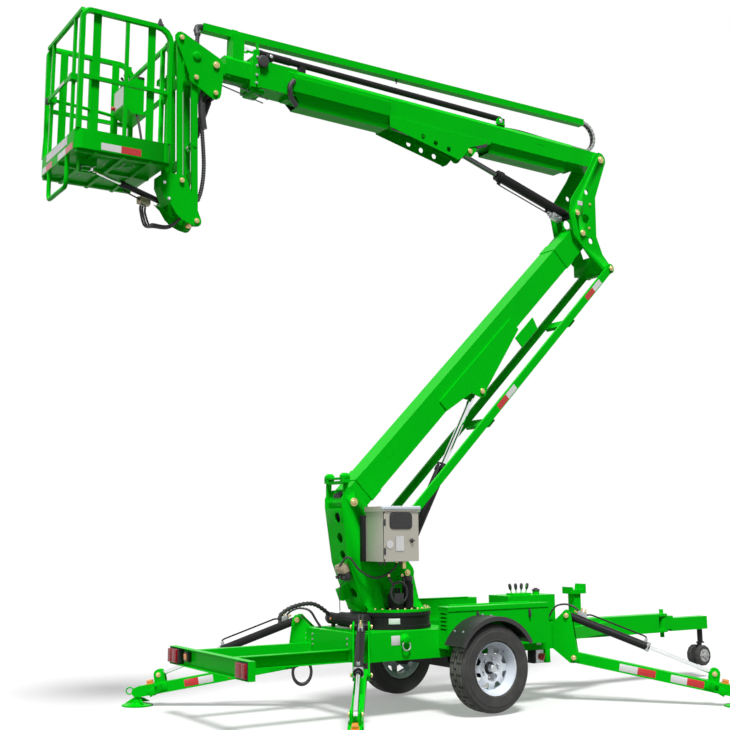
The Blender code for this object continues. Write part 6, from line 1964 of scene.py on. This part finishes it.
# %% Floor, post bars, tapes and step
ribs = [
    block(at(x - 0.014, -0.23, FLOOR_Z - 0.024), at(x + 0.014, 0.63, FLOOR_Z - 0.0004), 0.002, 1)
    for x in (-3.18, -2.97, -2.76)
] + [
    block(at(-3.328, y - 0.018, FLOOR_Z - 0.02), at(-2.612, y + 0.018, FLOOR_Z - 0.0004), 0.002, 1)
    for y in (-0.195, 0.2, 0.595)
]
fit(ribs, "floor_ribs", "basket", "green_paint", 30)
slot = joined([
    block((x, -0.0022, 0), (x + 0.009, 0.0022, 0.003), 0.0006, 1) for x in (-0.009, 0.0)
])
frames = []
for group_x, group_y in ((-2.9, -0.05), (-2.9, 0.29), (-3.105, -0.05), (-3.105, 0.29)):
    for row, lean in ((0, -0.55), (1, 0.55)):
        for column in range(5):
            place = at(group_x + 0.075 * row, group_y + 0.03 * column, FLOOR_Z - 0.0002)
            frames.append(frame_to(place, -Z, (1, lean, 0)))
fit(repeated(slot, frames), "floor_slots", "basket", "galvanised")

bars = []
for x in (-3.198, -2.768):
    for y, out in ((-0.202, -1), (0.602, 1)):
        near, far = sorted((y, y - out * 0.008))
        bars.append(block(at(x - 0.031, near, TOE_Z - 0.06), at(x + 0.031, far, FLOOR_Z + 1.07),
                          0.003, 1))
fit(bars, "post_bars", "basket", "green_paint", 30)


def on_near(start, end):
    """A strip on the toe board's near side."""
    return block((AXLE.x + start, by0 - 0.0012, FLOOR_Z + 0.01),
                 (AXLE.x + end, by0 - 0.0001, FLOOR_Z + 0.064), 0.0003, 1)


def on_end(start, end, low=0.006, high=0.058):
    """A strip on the toe board's end."""
    return block((bx0 - 0.0012, AXLE.y + start, FLOOR_Z + low),
                 (bx0 - 0.0001, AXLE.y + end, FLOOR_Z + high), 0.0003, 1)


white = [on_near(-3.149, -2.996), on_end(-0.01, 0.18), on_end(0.476, 0.572)]
fit(white, "basket_tape_white", "basket", "tape_white")
red = [on_near(-2.996, -2.841), on_end(-0.168, -0.01), on_end(0.325, 0.476)]
fit(red, "basket_tape_red", "basket", "tape_red")
fit(on_end(-0.03, 0.476, 0.078, 0.142), "basket_sign_blank", "basket", "label_white")
STEP = ((0.0, 0.004), (0.0, -0.1), (0.002, -0.17), (0.014, -0.212), (0.05, -0.23),
        (0.22, -0.23), (0.39, -0.23), (0.426, -0.212), (0.438, -0.17), (0.44, -0.1),
        (0.44, 0.004))
fit_hose("step_grip", "basket", [at(-3.324, y, FLOOR_Z + z) for y, z in STEP], 0.0175, 0.012,
         finish="green_paint")
print("floor slots:", len(frames))

# %% [markdown]
# The far rail dips and curves up to the control box, and a bent rail ends the near
# side. A black cap and a green gusset stand at the inner corners. The control box has
# a pale blank panel, three levers, a stop button, a cover and a cable, and the gate
# has a latch and a blank tag.
# %% Rails and control box
FAR_RAIL = ((-3.3, 0.606, 4.815), (-3.046, 0.606, 4.802), (-2.852, 0.606, 4.788),
            (-2.74, 0.6, 4.776), (-2.67, 0.585, 4.8), (-2.636, 0.56, 4.87),
            (-2.632, 0.548, 4.91))
NEAR_RAIL = ((-2.8, -0.214, 4.722), (-2.72, -0.214, 4.722), (-2.66, -0.2, 4.716),
             (-2.63, -0.16, 4.69), (-2.624, -0.11, 4.68))
for name, rail, radius in (("far_low_rail", FAR_RAIL, 0.014), ("near_mid_bend", NEAR_RAIL, 0.013)):
    fit_hose(name, "basket", [at(*p) for p in rail], radius, finish="green_paint")
BOX_LOW, BOX_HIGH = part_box("platform_control_box")
PANEL_X = BOX_HIGH.x - 0.1603


def in_basket(x, y, rise):
    return Vector((x, y, FLOOR_Z + rise))


panel = block(in_basket(PANEL_X - 0.0019, BOX_LOW.y + 0.02, 0.616),
              in_basket(PANEL_X, BOX_HIGH.y - 0.02, 0.776), 0.0005, 1)
fit(panel, "control_panel_blank", "basket", "label_white")
lever = turned(mm(22, 0, 22, 6, 15, 16, 7, 22, 7, 44, 11, 50, 11, 66, 6, 70), 24)
frames = [
    frame_to(in_basket(BOX_HIGH.x - 0.11, BOX_LOW.y + dy, 0.8255), (-0.07, 0, 0.1), Y)
    for dy in (0.06, 0.13, 0.2)
]
fit(repeated(lever, frames), "control_levers", "basket", "black_plastic")
fit_turned(
    "stop_button", "basket", "switch_red", mm(18, 0, 18, 6, 9, 7, 9, 14, 19, 16, 18, 26, 10, 29),
    in_basket(PANEL_X - 0.0022, BOX_HIGH.y - 0.032, 0.64), -X,
)
cover = block(in_basket(BOX_HIGH.x - 0.058, BOX_LOW.y - 0.004, 0.846),
              in_basket(BOX_HIGH.x - 0.002, BOX_HIGH.y + 0.004, 0.866), 0.004)
fit(cover, "control_box_cover", "basket", "black_plastic")
CABLE = ((-2.672, 0.27, 0.44), (-2.66, 0.24, 0.3), (-2.654, 0.22, 0.16), (-2.65, 0.205, 0.03))
places = [in_basket(BOX_HIGH.x - 0.05, BOX_LOW.y + 0.02, 0.548)]
places += [at(x, y, FLOOR_Z + rise) for x, y, rise in CABLE]
fit_hose("control_cable", "basket", places, 0.01, 0.012)
cap = block(at(-2.737, -0.237, 5.244), at(-2.688, -0.199, 5.268), 0.004)
work_on(cap)
pick("FACE", lambda face: face.normal.z > 0.9)
bpy.ops.mesh.inset(thickness=0.004, depth=0)
bpy.ops.mesh.extrude_region_move(TRANSFORM_OT_translate={"value": (0, 0, 0.046)})
bpy.ops.transform.resize(value=(0.35, 0.3, 1))
at_rest()
fit(cap, "rail_cap", "basket", "black_plastic")
gusset = [(AXLE.x + x, z) for x, z in ((-2.63, 5.14), (-2.63, 5.236), (-2.75, 5.236))]
gusset = plate_of(gusset, AXLE.y + 0.598, AXLE.y + 0.606, 0.001)
fit(gusset, "corner_gusset", "basket", "green_paint")
catch = block(at(-3.362, 0.492, FLOOR_Z + 0.565), at(-3.332, 0.516, FLOOR_Z + 0.62), 0.004)
fit(catch, "gate_latch", "basket", "black_plastic")
tag = block(at(-3.3525, 0.08, FLOOR_Z + 0.588), at(-3.3485, 0.2, FLOOR_Z + 0.612), 0.0005, 1)
fit(tag, "gate_tag_blank", "gate_bar", "label_white")
print("pieces made:", len(PIECES))
# %% [markdown]
# Last, the size of the dressed model's box is printed. The gate's latch stands out by
# 14 mm and the trough's lug by 22 mm.
# %% Sizes and finish
low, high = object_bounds()
print("dressed size:", [round(v, 3) for v in high - low])
